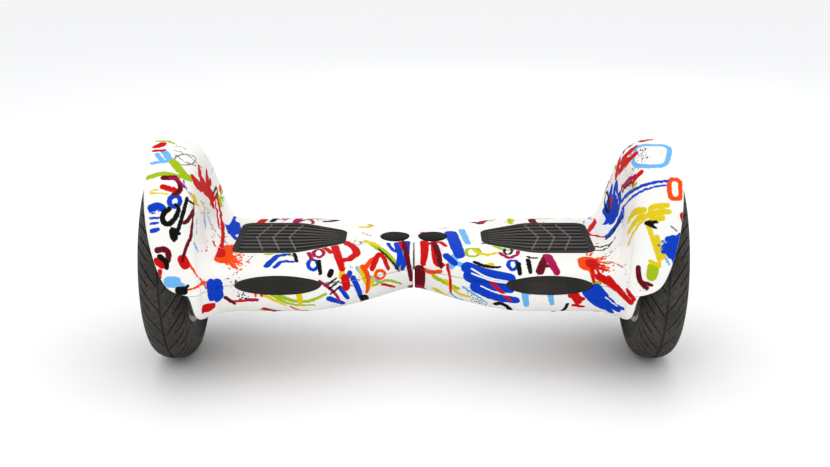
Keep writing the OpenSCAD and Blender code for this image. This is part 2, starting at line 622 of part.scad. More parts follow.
module foot_switches(side) {
    color([0.10, 0.10, 0.11]) half(side) for (s = [-1, 1]) translate([switch_x, s * switch_y, 0]) {
        translate([-9, -12, 0]) cube([18, 24, switch_board_t]);
        for (x = [-5, 2]) translate([x, -6, switch_board_t - eps]) cube([3, 12, 7]);
    }
}

loom_r = 5;
loom_joint = tube_reach + 12;
module left_loom() {
    color([0.12, 0.12, 0.13]) on_axle() {
        x_cylinder(-block_x0 + 1, loom_joint - 8, loom_r);
        x_cylinder(loom_joint - 9, loom_joint, loom_r + 1.5);
    }
}
module right_loom() {
    color([0.12, 0.12, 0.13]) on_axle() {
        x_cylinder(loom_joint + 0.5, loom_joint + 10, loom_r + 1.5);
        x_cylinder(loom_joint + 9, block_x0 - 1, loom_r);
    }
}

/* ---- rear fittings ---- */
flange_r = socket_r + 1.5;
flange_in = 1.2;       // depth of the round recess, measured out from the shell's skin
flange_out = 2;
cap_t = 2;
hinge_drop = flange_r + 2;
module charging_socket() {
    color([0.13, 0.13, 0.14]) half(1) translate([socket_x, socket_face, socket_z]) rotate([-90, 0, 0]) {
        difference() {
            union() {
                translate([0, 0, -12]) cylinder(h = 12 + flange_out, r = socket_r);
                translate([0, 0, flange_in + 0.05])
                    cylinder(h = flange_out - flange_in - 0.05, r = flange_r);
            }
            translate([0, 0, flange_out - socket_depth]) cylinder(h = socket_depth + 1, r = socket_d / 2);
        }
    }
}
button_root = 12;      // how deep the button's collar sits
// rubber cap that folds down on its strap
module port_cap() {
    color([0.12, 0.12, 0.12]) half(1) translate([socket_x, socket_face + flange_out, socket_z])
        rotate([-90, 0, 0]) {
            translate([0, 0, 0.35]) cylinder(h = cap_t, r = flange_r);
            translate([-5, flange_r - 3, 0.35]) cube([10, hinge_drop - flange_r + 3, cap_t]);
            translate([-5, hinge_drop, 1.35]) rotate([0, 90, 0]) cylinder(h = 10, r = 1);
        }
}
module power_button() {
    color([0.20, 0.20, 0.21]) half(1) translate([button_x, button_face, button_z]) rotate([-90, 0, 0]) {
        translate([0, 0, -button_root]) cylinder(h = button_root + button_travel + 0.5, r = button_d / 2);
        translate([0, 0, -button_root - 1]) cylinder(h = 2, r = button_d / 2 + 1.4);
    }
}

upper_shell(-1);  // left_upper_shell
upper_shell(1);  // right_upper_shell
lower_shell(-1);  // left_lower_shell
lower_shell(1);  // right_lower_shell
chassis(-1);  // left_chassis
chassis(1);  // right_chassis
centre_tube();
pivot_bushes();
retaining_ring();
axle(-1);  // left_axle
axle(1);  // right_axle
stator(-1);  // left_stator
stator(1);  // right_stator
coils(-1);  // left_coils
coils(1);  // right_coils
rim(-1);  // left_rim
rim(1);  // right_rim
magnets(-1);  // left_magnets
magnets(1);  // right_magnets
inner_cover(-1);  // left_inner_cover
inner_cover(1);  // right_inner_cover
outer_cover(-1);  // left_outer_cover
outer_cover(1);  // right_outer_cover
bearings(-1);  // left_bearings
bearings(1);  // right_bearings
tyre(-1);  // left_tyre
tyre(1);  // right_tyre
valve(-1);  // left_valve
valve(1);  // right_valve
cover_screws(-1);  // left_cover_screws
cover_screws(1);  // right_cover_screws
axle_clamp(-1);  // left_axle_clamp
axle_clamp(1);  // right_axle_clamp
clamp_screws(-1);  // left_clamp_screws
clamp_screws(1);  // right_clamp_screws
battery_pack();
battery_bracket();
main_board();
gyro_board(-1);  // left_gyro_board
gyro_board(1);  // right_gyro_board
foot_switches(-1);  // left_foot_switches
foot_switches(1);  // right_foot_switches
half(-1) foot_pad();  // left_foot_pad
half(1) foot_pad();  // right_foot_pad
window(-1);  // left_window
window(1);  // right_window
oval_light(-1, -1);  // left_front_light
oval_light(1, -1);  // right_front_light
oval_light(-1, 1);  // left_rear_light
oval_light(1, 1);  // right_rear_light
charging_socket();
port_cap();
power_button();
shell_screws(-1);  // left_shell_screws
shell_screws(1);  // right_shell_screws
left_loom();
right_loom();
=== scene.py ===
"""A self-balancing board: two paint-splashed halves that twist at the waist, with a fat wheel at each end.

X runs along the board, the front faces -Y and Z is up. Sizes written in millimetres are turned
into metres where a mesh is made.
"""
import json
import math

import bmesh
import bpy
import numpy as np
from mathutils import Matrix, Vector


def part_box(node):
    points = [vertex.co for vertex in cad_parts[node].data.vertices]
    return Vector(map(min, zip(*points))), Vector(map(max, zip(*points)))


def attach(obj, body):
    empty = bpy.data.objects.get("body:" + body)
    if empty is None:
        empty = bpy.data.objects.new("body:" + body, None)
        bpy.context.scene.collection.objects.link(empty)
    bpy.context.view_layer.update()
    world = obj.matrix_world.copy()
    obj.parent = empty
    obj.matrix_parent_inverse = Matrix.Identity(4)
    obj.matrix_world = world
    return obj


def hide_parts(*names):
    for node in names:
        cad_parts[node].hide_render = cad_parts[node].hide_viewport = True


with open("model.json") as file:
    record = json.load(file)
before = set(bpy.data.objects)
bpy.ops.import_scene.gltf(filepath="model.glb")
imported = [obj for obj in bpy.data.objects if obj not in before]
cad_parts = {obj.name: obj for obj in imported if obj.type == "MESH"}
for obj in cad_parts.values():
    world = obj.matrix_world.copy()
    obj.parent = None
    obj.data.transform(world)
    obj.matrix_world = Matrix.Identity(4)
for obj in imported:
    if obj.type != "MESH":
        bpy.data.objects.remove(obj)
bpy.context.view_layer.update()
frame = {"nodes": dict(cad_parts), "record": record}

# ---- Camera, floor and light ------------------------------------------------------------------
# A studio table: a long lens a little above the board, a pale floor that runs out of view,
# and four large soft lights.
SIDES = {"left": -1.0, "right": 1.0}
MM = 0.001
axle_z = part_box("left_tyre")[1][2] * 0.5
view_distance = 1.6
view_rise = math.radians(17.3)
aim_over_axle, aim_beside = 0.0341, 0.0015

scene = bpy.context.scene
eye = np.array([
    aim_beside, -aim_over_axle * math.sin(view_rise) - view_distance * math.cos(view_rise),
    axle_z + aim_over_axle * math.cos(view_rise) + view_distance * math.sin(view_rise)])
camera_data = bpy.data.cameras.new("camera")
camera_data.lens = 56.17
camera_data.sensor_width = 36.0
camera = bpy.data.objects.new("camera", camera_data)
camera.location = eye
camera.rotation_euler = (math.pi / 2 - view_rise, 0, 0)
scene.collection.objects.link(camera)
scene.camera = camera


def soft_light(name, place, target, size, power):
    """A square area light of the given size, turned so that it faces the target."""
    data = bpy.data.lights.new(name, "AREA")
    data.shape = "SQUARE"
    data.size = size
    data.energy = power
    lamp = bpy.data.objects.new(name, data)
    lamp.location = place
    way = lamp.location.copy()
    way.xyz = (target[0] - place[0], target[1] - place[1], target[2] - place[2])
    lamp.rotation_euler = way.to_track_quat("-Z", "Y").to_euler()
    scene.collection.objects.link(lamp)


soft_light("top_light", (0.0, 0.1, 1.7), (0, 0, 0.1), 1.8, 5)
soft_light("front_light", (-0.9, -1.5, 1.3), (0, 0, 0.12), 1.1, 4.4)
soft_light("side_light", (1.5, -0.7, 0.9), (0, 0, 0.12), 0.9, 2.5)
soft_light("back_light", (0.3, 1.7, 1.1), (0, 0, 0.15), 1.2, 2)

world = bpy.data.worlds.new("studio")
scene.world = world
world.use_nodes = True
world.node_tree.nodes["Background"].inputs["Color"].default_value = (0.985, 0.99, 1.0, 1)
world.node_tree.nodes["Background"].inputs["Strength"].default_value = 0.99
scene.view_settings.view_transform = "Standard"
scene.view_settings.gamma = 0.85

floor_half = 6.0
floor_mesh = bpy.data.meshes.new("floor")
floor_mesh.from_pydata([(-floor_half, -floor_half, 0), (floor_half, -floor_half, 0),
                        (floor_half, floor_half, 0), (-floor_half, floor_half, 0)], [], [(0, 1, 2, 3)])
floor = bpy.data.objects.new("floor", floor_mesh)
scene.collection.objects.link(floor)
floor_paint = bpy.data.materials.new("floor_paint")
floor_paint.use_nodes = True
floor_paint.node_tree.nodes["Principled BSDF"].inputs["Base Color"].default_value = (0.93, 0.93, 0.93, 1)
floor_paint.node_tree.nodes["Principled BSDF"].inputs["Roughness"].default_value = 0.6
floor_mesh.materials.append(floor_paint)

# ---- Shells -----------------------------------------------------------------------------------
# Each half has an upper and a lower casing of glossy white plastic, 3 mm thick, moulded as a tub and
# meeting at the level of the axles. The upper one sweeps up over the wheel as a fender.
shell_t = 3.0
seam_gap, seam_ease = 0.6, 0.35
half_gap = 1.0
tyre_low, tyre_high = (np.array(c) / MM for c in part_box("right_tyre"))
tyre_r = tyre_high[2] / 2
tyre_w = tyre_high[0] - tyre_low[0]
wheel_x = (tyre_high[0] + tyre_low[0]) / 2
fender_r = tyre_r + 21.5
end_x = tyre_low[0] - 15.0
axle_hole_r = 11.0
tube_hole_r = 18.5
waist_half, deck_half = 51.0, 111.0
over_h, over_n = (26.0, 24.5), (2.2, 4.0)
under_h, under_n = (36.0, 50.0), (2.2, 3.0)
flare_x, flare_l, flare_soft = 9.0, 121.0, 8.0
fillet_l, fillet_share, flank_share = 22.0, 0.2, 0.69
foot_top, foot_lean = 5.0, 30.0
flank_runs, lip_runs, lip_drops = (2.0, 16.0), (4.0, 10.0), (4.0, 7.0)
lip_back, lip_sweep, lip_tuck = 3.0, (41.0, 29.0), (18.0, 1.6)
edge_round = 1.3
edge_steps = np.array([[0.0, 0.3, 0.7, edge_round]])
edge_drop = edge_round * (1 - edge_steps / edge_round) ** 2


def mix(a, b, t):
    """The value a share t of the way from a to b."""
    return a + (b - a) * t


def spread(x):
    """How far the body has widened: 0 at the waist, easing out to 1 at the decks with the power 1.6."""
    run = x - flare_x
    return 1 - (1 - np.clip((run + np.hypot(run, flare_soft)) / (2 * flare_l), 0, 1)) ** 1.6


def half_depth(x):
    """Half of the body's depth, wider by the share the body has spread."""
    return mix(waist_half, deck_half, spread(x))


def section_r(a, width, height, power):
    """Radius at angle a of a rounded section: (cos a / width)^n + (sin a / height)^n = r^-n."""
    return (np.abs(np.cos(a) / width) ** power + np.abs(np.sin(a) / height) ** power) ** (-1 / power)


def deck_r(a, x):
    """Radius of the upper shell's section where there is no fender."""
    s = spread(x)
    return section_r(a, half_depth(x), mix(*over_h, s), mix(*over_n, s))


def section_h(across, half, height, power):
    """Height of a rounded section at a distance across it: h (1 - (y / half)^n)^(1/n)."""
    return height * np.clip(1 - np.abs(across / half) ** power, 0, 1) ** (1 / power)


def deck_z(x, y):
    """Height of the upper shell over the axle line at x and y."""
    s = spread(x)
    return section_h(y, half_depth(x), mix(*over_h, s), mix(*over_n, s))


def face_y(x, z):
    """Depth of the front face at x and at height z over the axle line."""
    s = spread(x)
    over = section_h(z, mix(*over_h, s), half_depth(x), mix(*over_n, s))
    under = section_h(z, mix(*under_h, s), half_depth(x), mix(*under_n, s))
    return np.where(z > 0, over, under)


deck_n = 149
skin_rows = 230


def upper_line(a):
    """Outside of the upper shell in the plane at each angle a: deck, hollow curve, flank, shoulder, lip.

    The fender's rise is blended in as a share w of the way from the deck's radius to the fender's:
    1 - cos on the hollow curve, straight on the flank, and a superellipse quarter on the shoulder.
    """
    a = a[:, None]
    lean = (1 - np.abs(np.sin(a))) ** 1.5
    foot = end_x + foot_top - foot_lean * lean
    deck_end = foot - fillet_l
    head = foot + mix(*flank_runs, lean)
    low = np.degrees(np.minimum(a, math.pi - a))
    lip = tyre_high[0] - lip_back
    for reach, fade in (lip_sweep, lip_tuck):
        lip = lip - reach * np.exp(-low / fade)
    lip_run = mix(*lip_runs, np.abs(np.sin(a)))
    lip_drop = mix(*lip_drops, np.abs(np.sin(a)))
    shoulder_end = lip - lip_run
    quarter = math.pi / 2
    x, r = [half_gap + edge_steps + 0 * a], [deck_r(a, half_gap) - edge_drop]
    x.append(mix(half_gap + 1.5, deck_end, np.linspace(0, 1, deck_n + 1)[None, :-1]))
    r.append(deck_r(a, x[-1]))
    t = np.linspace(0, quarter, 22)[None, :-1]
    for run, share in ((deck_end + fillet_l * np.sin(t), fillet_share * (1 - np.cos(t))),
                       (mix(foot, head, t / quarter), mix(fillet_share, flank_share, t / quarter))):
        x.append(run + 0 * a)
        r.append(mix(deck_r(a, x[-1]), fender_r, share))
    t = np.linspace(0, quarter, 64)[None, :-1]
    x.append(shoulder_end - (shoulder_end - head) * np.cos(t) ** 0.8)
    r.append(mix(deck_r(a, x[-1]), fender_r, mix(flank_share, 1.0, np.sin(t) ** 0.8)))
    t = np.linspace(0, quarter, 9)[None, :]
    x.append(shoulder_end + lip_run * np.sin(t))
    r.append(fender_r - lip_drop * (1 - np.cos(t)))
    return np.hstack(x), np.hstack(r)


def inward(x, r, by):
    """The line moved square to itself, towards the inside of the body."""
    dx = np.gradient(x, axis=1)
    dr = np.gradient(r, axis=1)
    length = np.hypot(dx, dr)
    return x + by * dr / length, r - by * dx / length


def under_skin(x, r, xs):
    """Radius of the inside at each xs, read off the line moved inwards, one row after another."""
    ux, ur = inward(x, r, shell_t)
    return np.stack([np.interp(xs, ux[j, 2:], ur[j, 2:]) for j in range(len(x))])


def row_angles(n):
    """Angles from 0 to 180 degrees, closer together towards both ends."""
    u = np.linspace(0, 1, n + 1)
    return math.pi * mix(u, (1 - np.cos(math.pi * u)) / 2, 0.4)


inside_x = np.linspace(end_x - shell_t, half_gap + shell_t, 16)


def closed_off(x, r, wheel_side):
    """The loop of a shell's section: outside, wheel side, end wall, inside and centre wall."""
    rows = np.ones((len(x), 1))
    inside = under_skin(x, r, inside_x)
    centre_x, centre_r = rows * (half_gap + shell_t, half_gap), rows * (tube_hole_r, tube_hole_r)
    return (np.hstack([x, wheel_side[0], rows * (end_x - shell_t), rows * inside_x, centre_x]),
            np.hstack([r, wheel_side[1], rows * axle_hole_r, inside, centre_r]))


def swept_shell(name, a, lx, lr, side, up):
    """Carries the section loops round the axle line, (y, z) = r (cos a, sin a), and caps both ends.

    The two rows at the seam are eased back by a bell curve of the angle, so the parting line shows.
    """
    lr = lr - seam_ease * np.exp(-(np.minimum(a, math.pi - a) / math.radians(0.35)) ** 2)[:, None]
    sine = np.sin(a)
    sine[-1] = 0
    grid = np.stack([side * lx, lr * np.cos(a)[:, None], up * (lr * sine[:, None] + seam_gap / 2)], axis=2)
    grid[:, :, 2] += tyre_r
    rows, n = lx.shape
    at = np.arange(rows * n).reshape(rows, n)
    right = np.roll(at, -1, axis=1)
    quads = np.stack([at[:-1], right[:-1], right[1:], at[1:]], axis=2).reshape(-1, 4)
    mesh = bpy.data.meshes.new(name)
    mesh.from_pydata(grid.reshape(-1, 3) * MM, [], quads.tolist() + [at[0, ::-1].tolist(), at[-1].tolist()])
    if side * up > 0:
        mesh.flip_normals()
    return mesh


def upper_shell(name, side):
    """The upper shell: its own outside line, and the same line one wall in on the wheel side."""
    a = row_angles(skin_rows)
    x, r = upper_line(a)
    first_fillet = edge_steps.size + deck_n
    ux, ur = inward(x, r, shell_t)
    back = np.arange(x.shape[1] - 1, first_fillet - 1, -6)
    rows = np.ones((len(a), 1))
    wheel_side = (np.hstack([np.maximum(ux[:, back], end_x), rows * end_x]),
                  np.hstack([ur[:, back], rows * axle_hole_r]))
    return swept_shell(name, a, *closed_off(x, r, wheel_side), side, 1.0)


end_round = 4.0


def lower_shell(name, side):
    """The lower shell: as deep as the upper one at the seam, rounded below, with a plain end wall."""
    a = row_angles(skin_rows)
    seam_x, seam_r = upper_line(np.array([0.0]))
    low = np.degrees(np.minimum(a, math.pi - a))[:, None]
    end = end_x + 6.0 * np.exp(-low / 4.0) - end_round
    t = np.linspace(0, math.pi / 2, 9)[None, :]
    along = mix(half_gap + 1.5, end, np.linspace(0, 1, 200)[None, :-1])
    x = np.hstack([half_gap + edge_steps + 0 * low, along, end + end_round * np.sin(t)])
    s = spread(x)
    r = section_r(a[:, None], np.interp(x, seam_x[0], seam_r[0]), mix(*under_h, s), mix(*under_n, s))
    r[:, :edge_steps.size] -= edge_drop
    r[:, -t.size:] = r[:, -t.size:1 - t.size] - end_round * (1 - np.cos(t))
    wheel_side = (end + end_round, 0 * end + axle_hole_r)
    return swept_shell(name, a, *closed_off(x, r, wheel_side), side, -1.0)


pad_out_x = end_x - 34.0
pad_in_x = pad_out_x - 135.0
pad_half = 61.5


def rounded(corners):
    """A polygon [x, y, radius] with an arc in each corner, whose centre lies on the line that halves it."""
    points = []
    for i, (x, y, radius) in enumerate(corners):
        here = np.array([x, y])
        u = np.array(corners[i - 1][:2]) - here
        v = np.array(corners[(i + 1) % len(corners)][:2]) - here
        u, v = u / np.linalg.norm(u), v / np.linalg.norm(v)
        half_turn = math.acos(float(u @ v)) / 2
        middle = here + (u + v) / np.linalg.norm(u + v) * radius / math.sin(half_turn)
        a, b = (here + w * radius / math.tan(half_turn) - middle for w in (u, v))
        chord = a[None] + (b - a)[None] * np.linspace(0, 1, 15)[:, None]
        points.append(middle + chord / np.linalg.norm(chord, axis=1)[:, None] * radius)
    return np.vstack(points)


def pad_outline(gap):
    """Corners of a foot pad, grown by a gap: square at the outer end, tapering to a blunt nose."""
    near = [(pad_out_x + gap, pad_half + gap, 14 + gap), (pad_in_x + 58, pad_half + gap, 46 + gap),
            (pad_in_x - gap, 26 + gap / 2, 18 + gap)]
    return rounded(near + [(x, -y, radius) for x, y, radius in near[::-1]])


def oval(half_x, half_y):
    """Points of an ellipse."""
    t = np.linspace(0, 2 * math.pi, 97)[:-1]
    return np.stack([half_x * np.cos(t), half_y * np.sin(t)], axis=1)


def prism(outline, low, high, place, facing="z"):
    """A straight cutter: the outline, run anticlockwise and carried from low to high along Z or Y."""
    turn = outline[:, 0] @ np.roll(outline[:, 1], -1) - outline[:, 1] @ np.roll(outline[:, 0], -1)
    outline = outline if turn > 0 else outline[::-1]
    n = len(outline)
    levels = [np.column_stack([outline, np.full(n, h)]) for h in (low, high)]
    points = np.vstack(levels)
    if facing == "y":
        points = points[:, [0, 2, 1]] * (1, -1, 1)
    points = points + place
    ring = np.arange(n)
    sides = np.stack([ring, np.roll(ring, -1), np.roll(ring, -1) + n, ring + n], axis=1)
    mesh = bpy.data.meshes.new("cutter")
    mesh.from_pydata(points * MM, [], sides.tolist() + [ring[::-1].tolist(), (ring + n).tolist()])
    return mesh


def cut(mesh, cutters):
    """The mesh with every cutter taken out of it."""
    body = bpy.data.objects.new("blank", mesh)
    scene.collection.objects.link(body)
    tools = [bpy.data.objects.new("tool", c) for c in cutters]
    for tool in tools:
        scene.collection.objects.link(tool)
        knife = body.modifiers.new("knife", "BOOLEAN")
        knife.operation = "DIFFERENCE"
        knife.solver = "MANIFOLD"
        knife.object = tool
    bpy.context.view_layer.update()
    done = bpy.data.meshes.new_from_object(body.evaluated_get(bpy.context.evaluated_depsgraph_get()))
    for o in [body] + tools:
        bpy.data.objects.remove(o)
    done.name = mesh.name
    return done


sharp_corner = math.radians(35)


def piece(name, mesh, body, stands_for, finish=None):
    """Puts a finished mesh in the scene as the piece that stands for a node."""
    mesh.shade_smooth()
    mesh.set_sharp_from_angle(angle=sharp_corner)
    made = bpy.data.objects.new(name, mesh)
    scene.collection.objects.link(made)
    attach(made, body)
    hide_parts(stands_for)
    if finish:
        mesh.materials.append(finish)
    return made


light_x = end_x - 94.0
light_half = (50.5, 11.5)
window_x = 23.5
window_half = (18.0, 20.0)
socket_x, socket_z = light_x - 24, -25.0
button_x, button_z = light_x + 10, -22.5
pad_gap, light_gap, window_gap = 0.4, 0.3, 0.25
screw_hole_r, screw_head_r, head_deep = 2.2, 4.3, 2.0
socket_hole_r, socket_rim_r, rim_deep, button_hole_r = 9.05, 10.9, 1.2, 7.4
screw_spots = [(x, s * (deck_half - inset)) for s in (-1, 1)
               for x, inset in ((end_x - 18, 36), (light_x + 9, 36), (light_x - 34, 46))]


def shell_cutters(side, upper):
    """Openings of one shell: the ovals on both shells, pad and window above, screws and fittings below."""
    cutters = []
    for way in (-1, 1):
        hole = oval(light_half[0] + light_gap, light_half[1] + light_gap)
        cutters.append(prism(hole, -28, 28, (side * light_x, way * deck_half, tyre_r), "y"))
    if upper:
        window = oval(window_half[0] + window_gap, window_half[1] + window_gap)
        cutters.append(prism(pad_outline(pad_gap) * (side, 1), 0, 60, (0, 0, tyre_r)))
        cutters.append(prism(window, 0, 60, (side * window_x, 0, tyre_r)))
        return cutters
    for x, y in screw_spots:
        skin = -section_h(y, half_depth(x), under_h[1], under_n[1])
        hole, head = oval(screw_hole_r, screw_hole_r), oval(screw_head_r, screw_head_r)
        cutters.append(prism(hole, -60, -10, (side * x, y, tyre_r)))
        cutters.append(prism(head, -60, float(skin) + head_deep, (side * x, y, tyre_r)))
    if side > 0:
        for x, z, hole, low, high in (
                (socket_x, socket_z, socket_hole_r, -16, 12),
                (socket_x, socket_z, socket_rim_r, -26, -rim_deep),
                (button_x, button_z, button_hole_r, -16, 12)):
            cutters.append(prism(oval(hole, hole), low, high, (x, face_y(x, np.array(z)), tyre_r + z), "y"))
    return cutters


shells = {}
for side_name, side in SIDES.items():
    for part, make in (("upper_shell", upper_shell), ("lower_shell", lower_shell)):
        name = f"{side_name}_{part}"
        mesh = cut(make(name + "_skin", side), shell_cutters(side, part == "upper_shell"))
        shells[name] = piece(name + "_skin", mesh, side_name + "_half", name)

# ---- Paint on the shells ----------------------------------------------------------------------
# Brush strokes, rings and splats in eleven colours, under a clear coat. They were laid on from the
# front, from behind and from below, so each one runs over the parting line and the curves.
SKY, YELLOW, LIME, ORANGE, BLUE = "sky", "yellow", "lime", "orange", "blue"
RED, MAROON, MAGENTA, BLACK, PENCIL, WHITE = "red", "maroon", "magenta", "black", "pencil", "white"
PAINT = {
    PENCIL: (0.26, 0.24, 0.24), SKY: (0.18, 0.46, 0.78), LIME: (0.38, 0.50, 0.008),
    YELLOW: (0.70, 0.56, 0.012), ORANGE: (0.80, 0.085, 0.002), BLUE: (0.001, 0.06, 0.52),
    RED: (0.58, 0.003, 0.004), MAROON: (0.15, 0.002, 0.01), MAGENTA: (0.40, 0.004, 0.09),
    BLACK: (0.004, 0.004, 0.004), WHITE: (0.86, 0.86, 0.84)}
eye_away = view_distance / MM
edge_reach = 6.0
cell = 1.6
view_cells, view_middle = (480, 280), (240, 120)
skin = {name: np.empty(len(made.data.vertices) * 3) for name, made in shells.items()}
for name, made in shells.items():
    made.data.vertices.foreach_get("co", skin[name])
skin = {name: co.reshape(-1, 3) / MM - (0, 0, tyre_r) for name, co in skin.items()}
all_skin = np.vstack(list(skin.values()))


def faces_out(made, points):
    """Which points are on the outside: the skin there looks away from the axle line, or to the waist."""
    looks = np.empty(len(points) * 3, np.float32)
    made.data.vertex_normals.foreach_get("vector", looks)
    looks = looks.reshape(-1, 3)
    around = (looks[:, 1:] * points[:, 1:]).sum(axis=1) / np.linalg.norm(points[:, 1:], axis=1)
    return around > 0.35 * looks[:, 0] * np.sign(points[:, 0])


outside = np.concatenate([faces_out(shells[name], points) for name, points in skin.items()])


def seen_from(points, way, rise):
    """Sprayer's view of points: (u, v, d), d its distance along the look, u and v shrunk by D / (D + d)."""
    y = points[:, 1] * way
    d = y * math.cos(rise) - points[:, 2] * math.sin(rise)
    near = eye_away / (eye_away + d)
    return points[:, 0] * near, (points[:, 2] * math.cos(rise) + y * math.sin(rise)) * near, d


class Sprayer:
    """Someone who paints the skin from one side: 1 the front, -1 behind, at a rise over the horizon."""

    def __init__(self, way, rise, reach):
        """Keeps the nearest skin in each cell of the view, and the points within reach of this paint."""
        self.way, self.rise = way, rise
        self.reach = np.flatnonzero(reach & outside)
        u, v, d = seen_from(all_skin, way, rise)
        far_first = np.argsort(-d)
        self.depth = np.full(view_cells, np.inf)
        self.depth[self.spot(u[far_first], v[far_first])] = d[far_first]
        near = np.min([np.roll(self.depth, (i, j), (0, 1)) for i in (-1, 0, 1) for j in (-1, 0, 1)], axis=0)
        self.depth = np.where(np.isinf(self.depth), near, self.depth)

    def spot(self, u, v):
        """The cell of the view that each (u, v) falls in."""
        return (u / cell + view_middle[0]).astype(int), (v / cell + view_middle[1]).astype(int)

    def stick(self, marks):
        """Where marks (u, v) land on the skin, in millimetres."""
        u, v = marks.T
        d = self.depth[self.spot(u, v)]
        u, v, d = (part[np.isfinite(d)] for part in (u, v, d))
        grow = (eye_away + d) / eye_away
        y = v * grow * math.sin(self.rise) + d * math.cos(self.rise)
        z = v * grow * math.cos(self.rise) - d * math.sin(self.rise)
        return np.column_stack([u * grow, y * self.way, z])


front = Sprayer(1, view_rise, all_skin[:, 1] < 84)
behind = Sprayer(-1, view_rise, all_skin[:, 1] > 56)
below = Sprayer(1, -math.pi / 2, all_skin[:, 2] < -22)
field = {colour: np.full(len(all_skin), edge_reach) for colour in PAINT}


def flowing(points):
    """The points as a curve: corners cut twice at a quarter and three quarters, a mark every 2.5 mm."""
    p = np.array(points, float)
    for _ in range(2 if len(p) > 2 else 0):
        inner = np.stack([mix(p[:-1], p[1:], 0.25), mix(p[:-1], p[1:], 0.75)], axis=1).reshape(-1, 2)
        p = np.vstack([p[:1], inner, p[-1:]])
    along = np.concatenate([[0], np.cumsum(np.linalg.norm(np.diff(p, axis=0), axis=1))])
    s = np.linspace(0, along[-1], max(2, int(along[-1] / 2.5) + 2))
    return np.column_stack([np.interp(s, along, p[:, i]) for i in (0, 1)])


swell = 1.22


def brush(colour, radius, *points, by=front, thin=0.35):
    """A stroke through points (u, v): the colour's field takes the distance to it, less its radius."""
    placed = by.stick(flowing(points) if len(points) > 1 else np.array(points, float))
    if not len(placed):
        return
    low, high = placed.min(axis=0) - radius - edge_reach, placed.max(axis=0) + radius + edge_reach
    at = all_skin[by.reach]
    near = by.reach[np.all((at > low) & (at < high), axis=1)]
    spots = all_skin[near]
    best = field[colour][near]
    for i, (a, b) in enumerate(zip(placed, np.vstack([placed[1:], placed[-1:]]))):
        along = b - a if np.linalg.norm(b - a) < 20 else b * 0
        t = np.clip((spots - a) @ along / max(along @ along, 1e-9), 0, 1)
        width = radius * swell * (1 - thin * (i / len(placed)) ** 3)
        best = np.minimum(best, np.linalg.norm(spots - a - t[:, None] * along, axis=1) - width)
    field[colour][near] = best


def ring(colour, radius, u, v, r, squash=1.0, by=front, start=0.0, turn=6.6):
    """A loop drawn round (u, v)."""
    t = start + np.linspace(0, turn, 14)
    brush(colour, radius, *np.column_stack([u + r * np.cos(t), v + r * squash * np.sin(t)]), by=by)


def splat(colour, u, v, r, seed, towards=0.0, reach=3.2, rays=11, by=front):
    """A blot with rays thrown one way and droplets beyond them."""
    dice = np.random.default_rng(seed)
    brush(colour, r, (u, v), (u + 1, v - r * 0.5), by=by)
    for bearing, far in zip(towards + dice.normal(0, 0.5, rays), dice.uniform(1.5, reach, rays)):
        way = np.array([math.cos(bearing), math.sin(bearing)]) * r
        brush(colour, dice.uniform(0.8, 1.7), (u, v) + way * 0.7, (u, v) + way * far, by=by, thin=0.6)
        brush(colour, dice.uniform(0.7, 1.5), (u, v) + way * (far + dice.uniform(0.3, 0.8)), by=by)


def frame_shape(colour, radius, u, v, half_u, half_v, lean=0.0):
    """The outline of a rounded rectangle."""
    t = np.linspace(0, 2 * math.pi, 25)
    box = np.column_stack([np.cos(t), np.sin(t)])
    box /= (np.abs(box) ** 5).sum(axis=1)[:, None] ** 0.2
    middle = np.column_stack([u + lean * box[:, 1], v + 0 * t])
    brush(colour, radius, *(box * (half_u, half_v) + middle), thin=0)


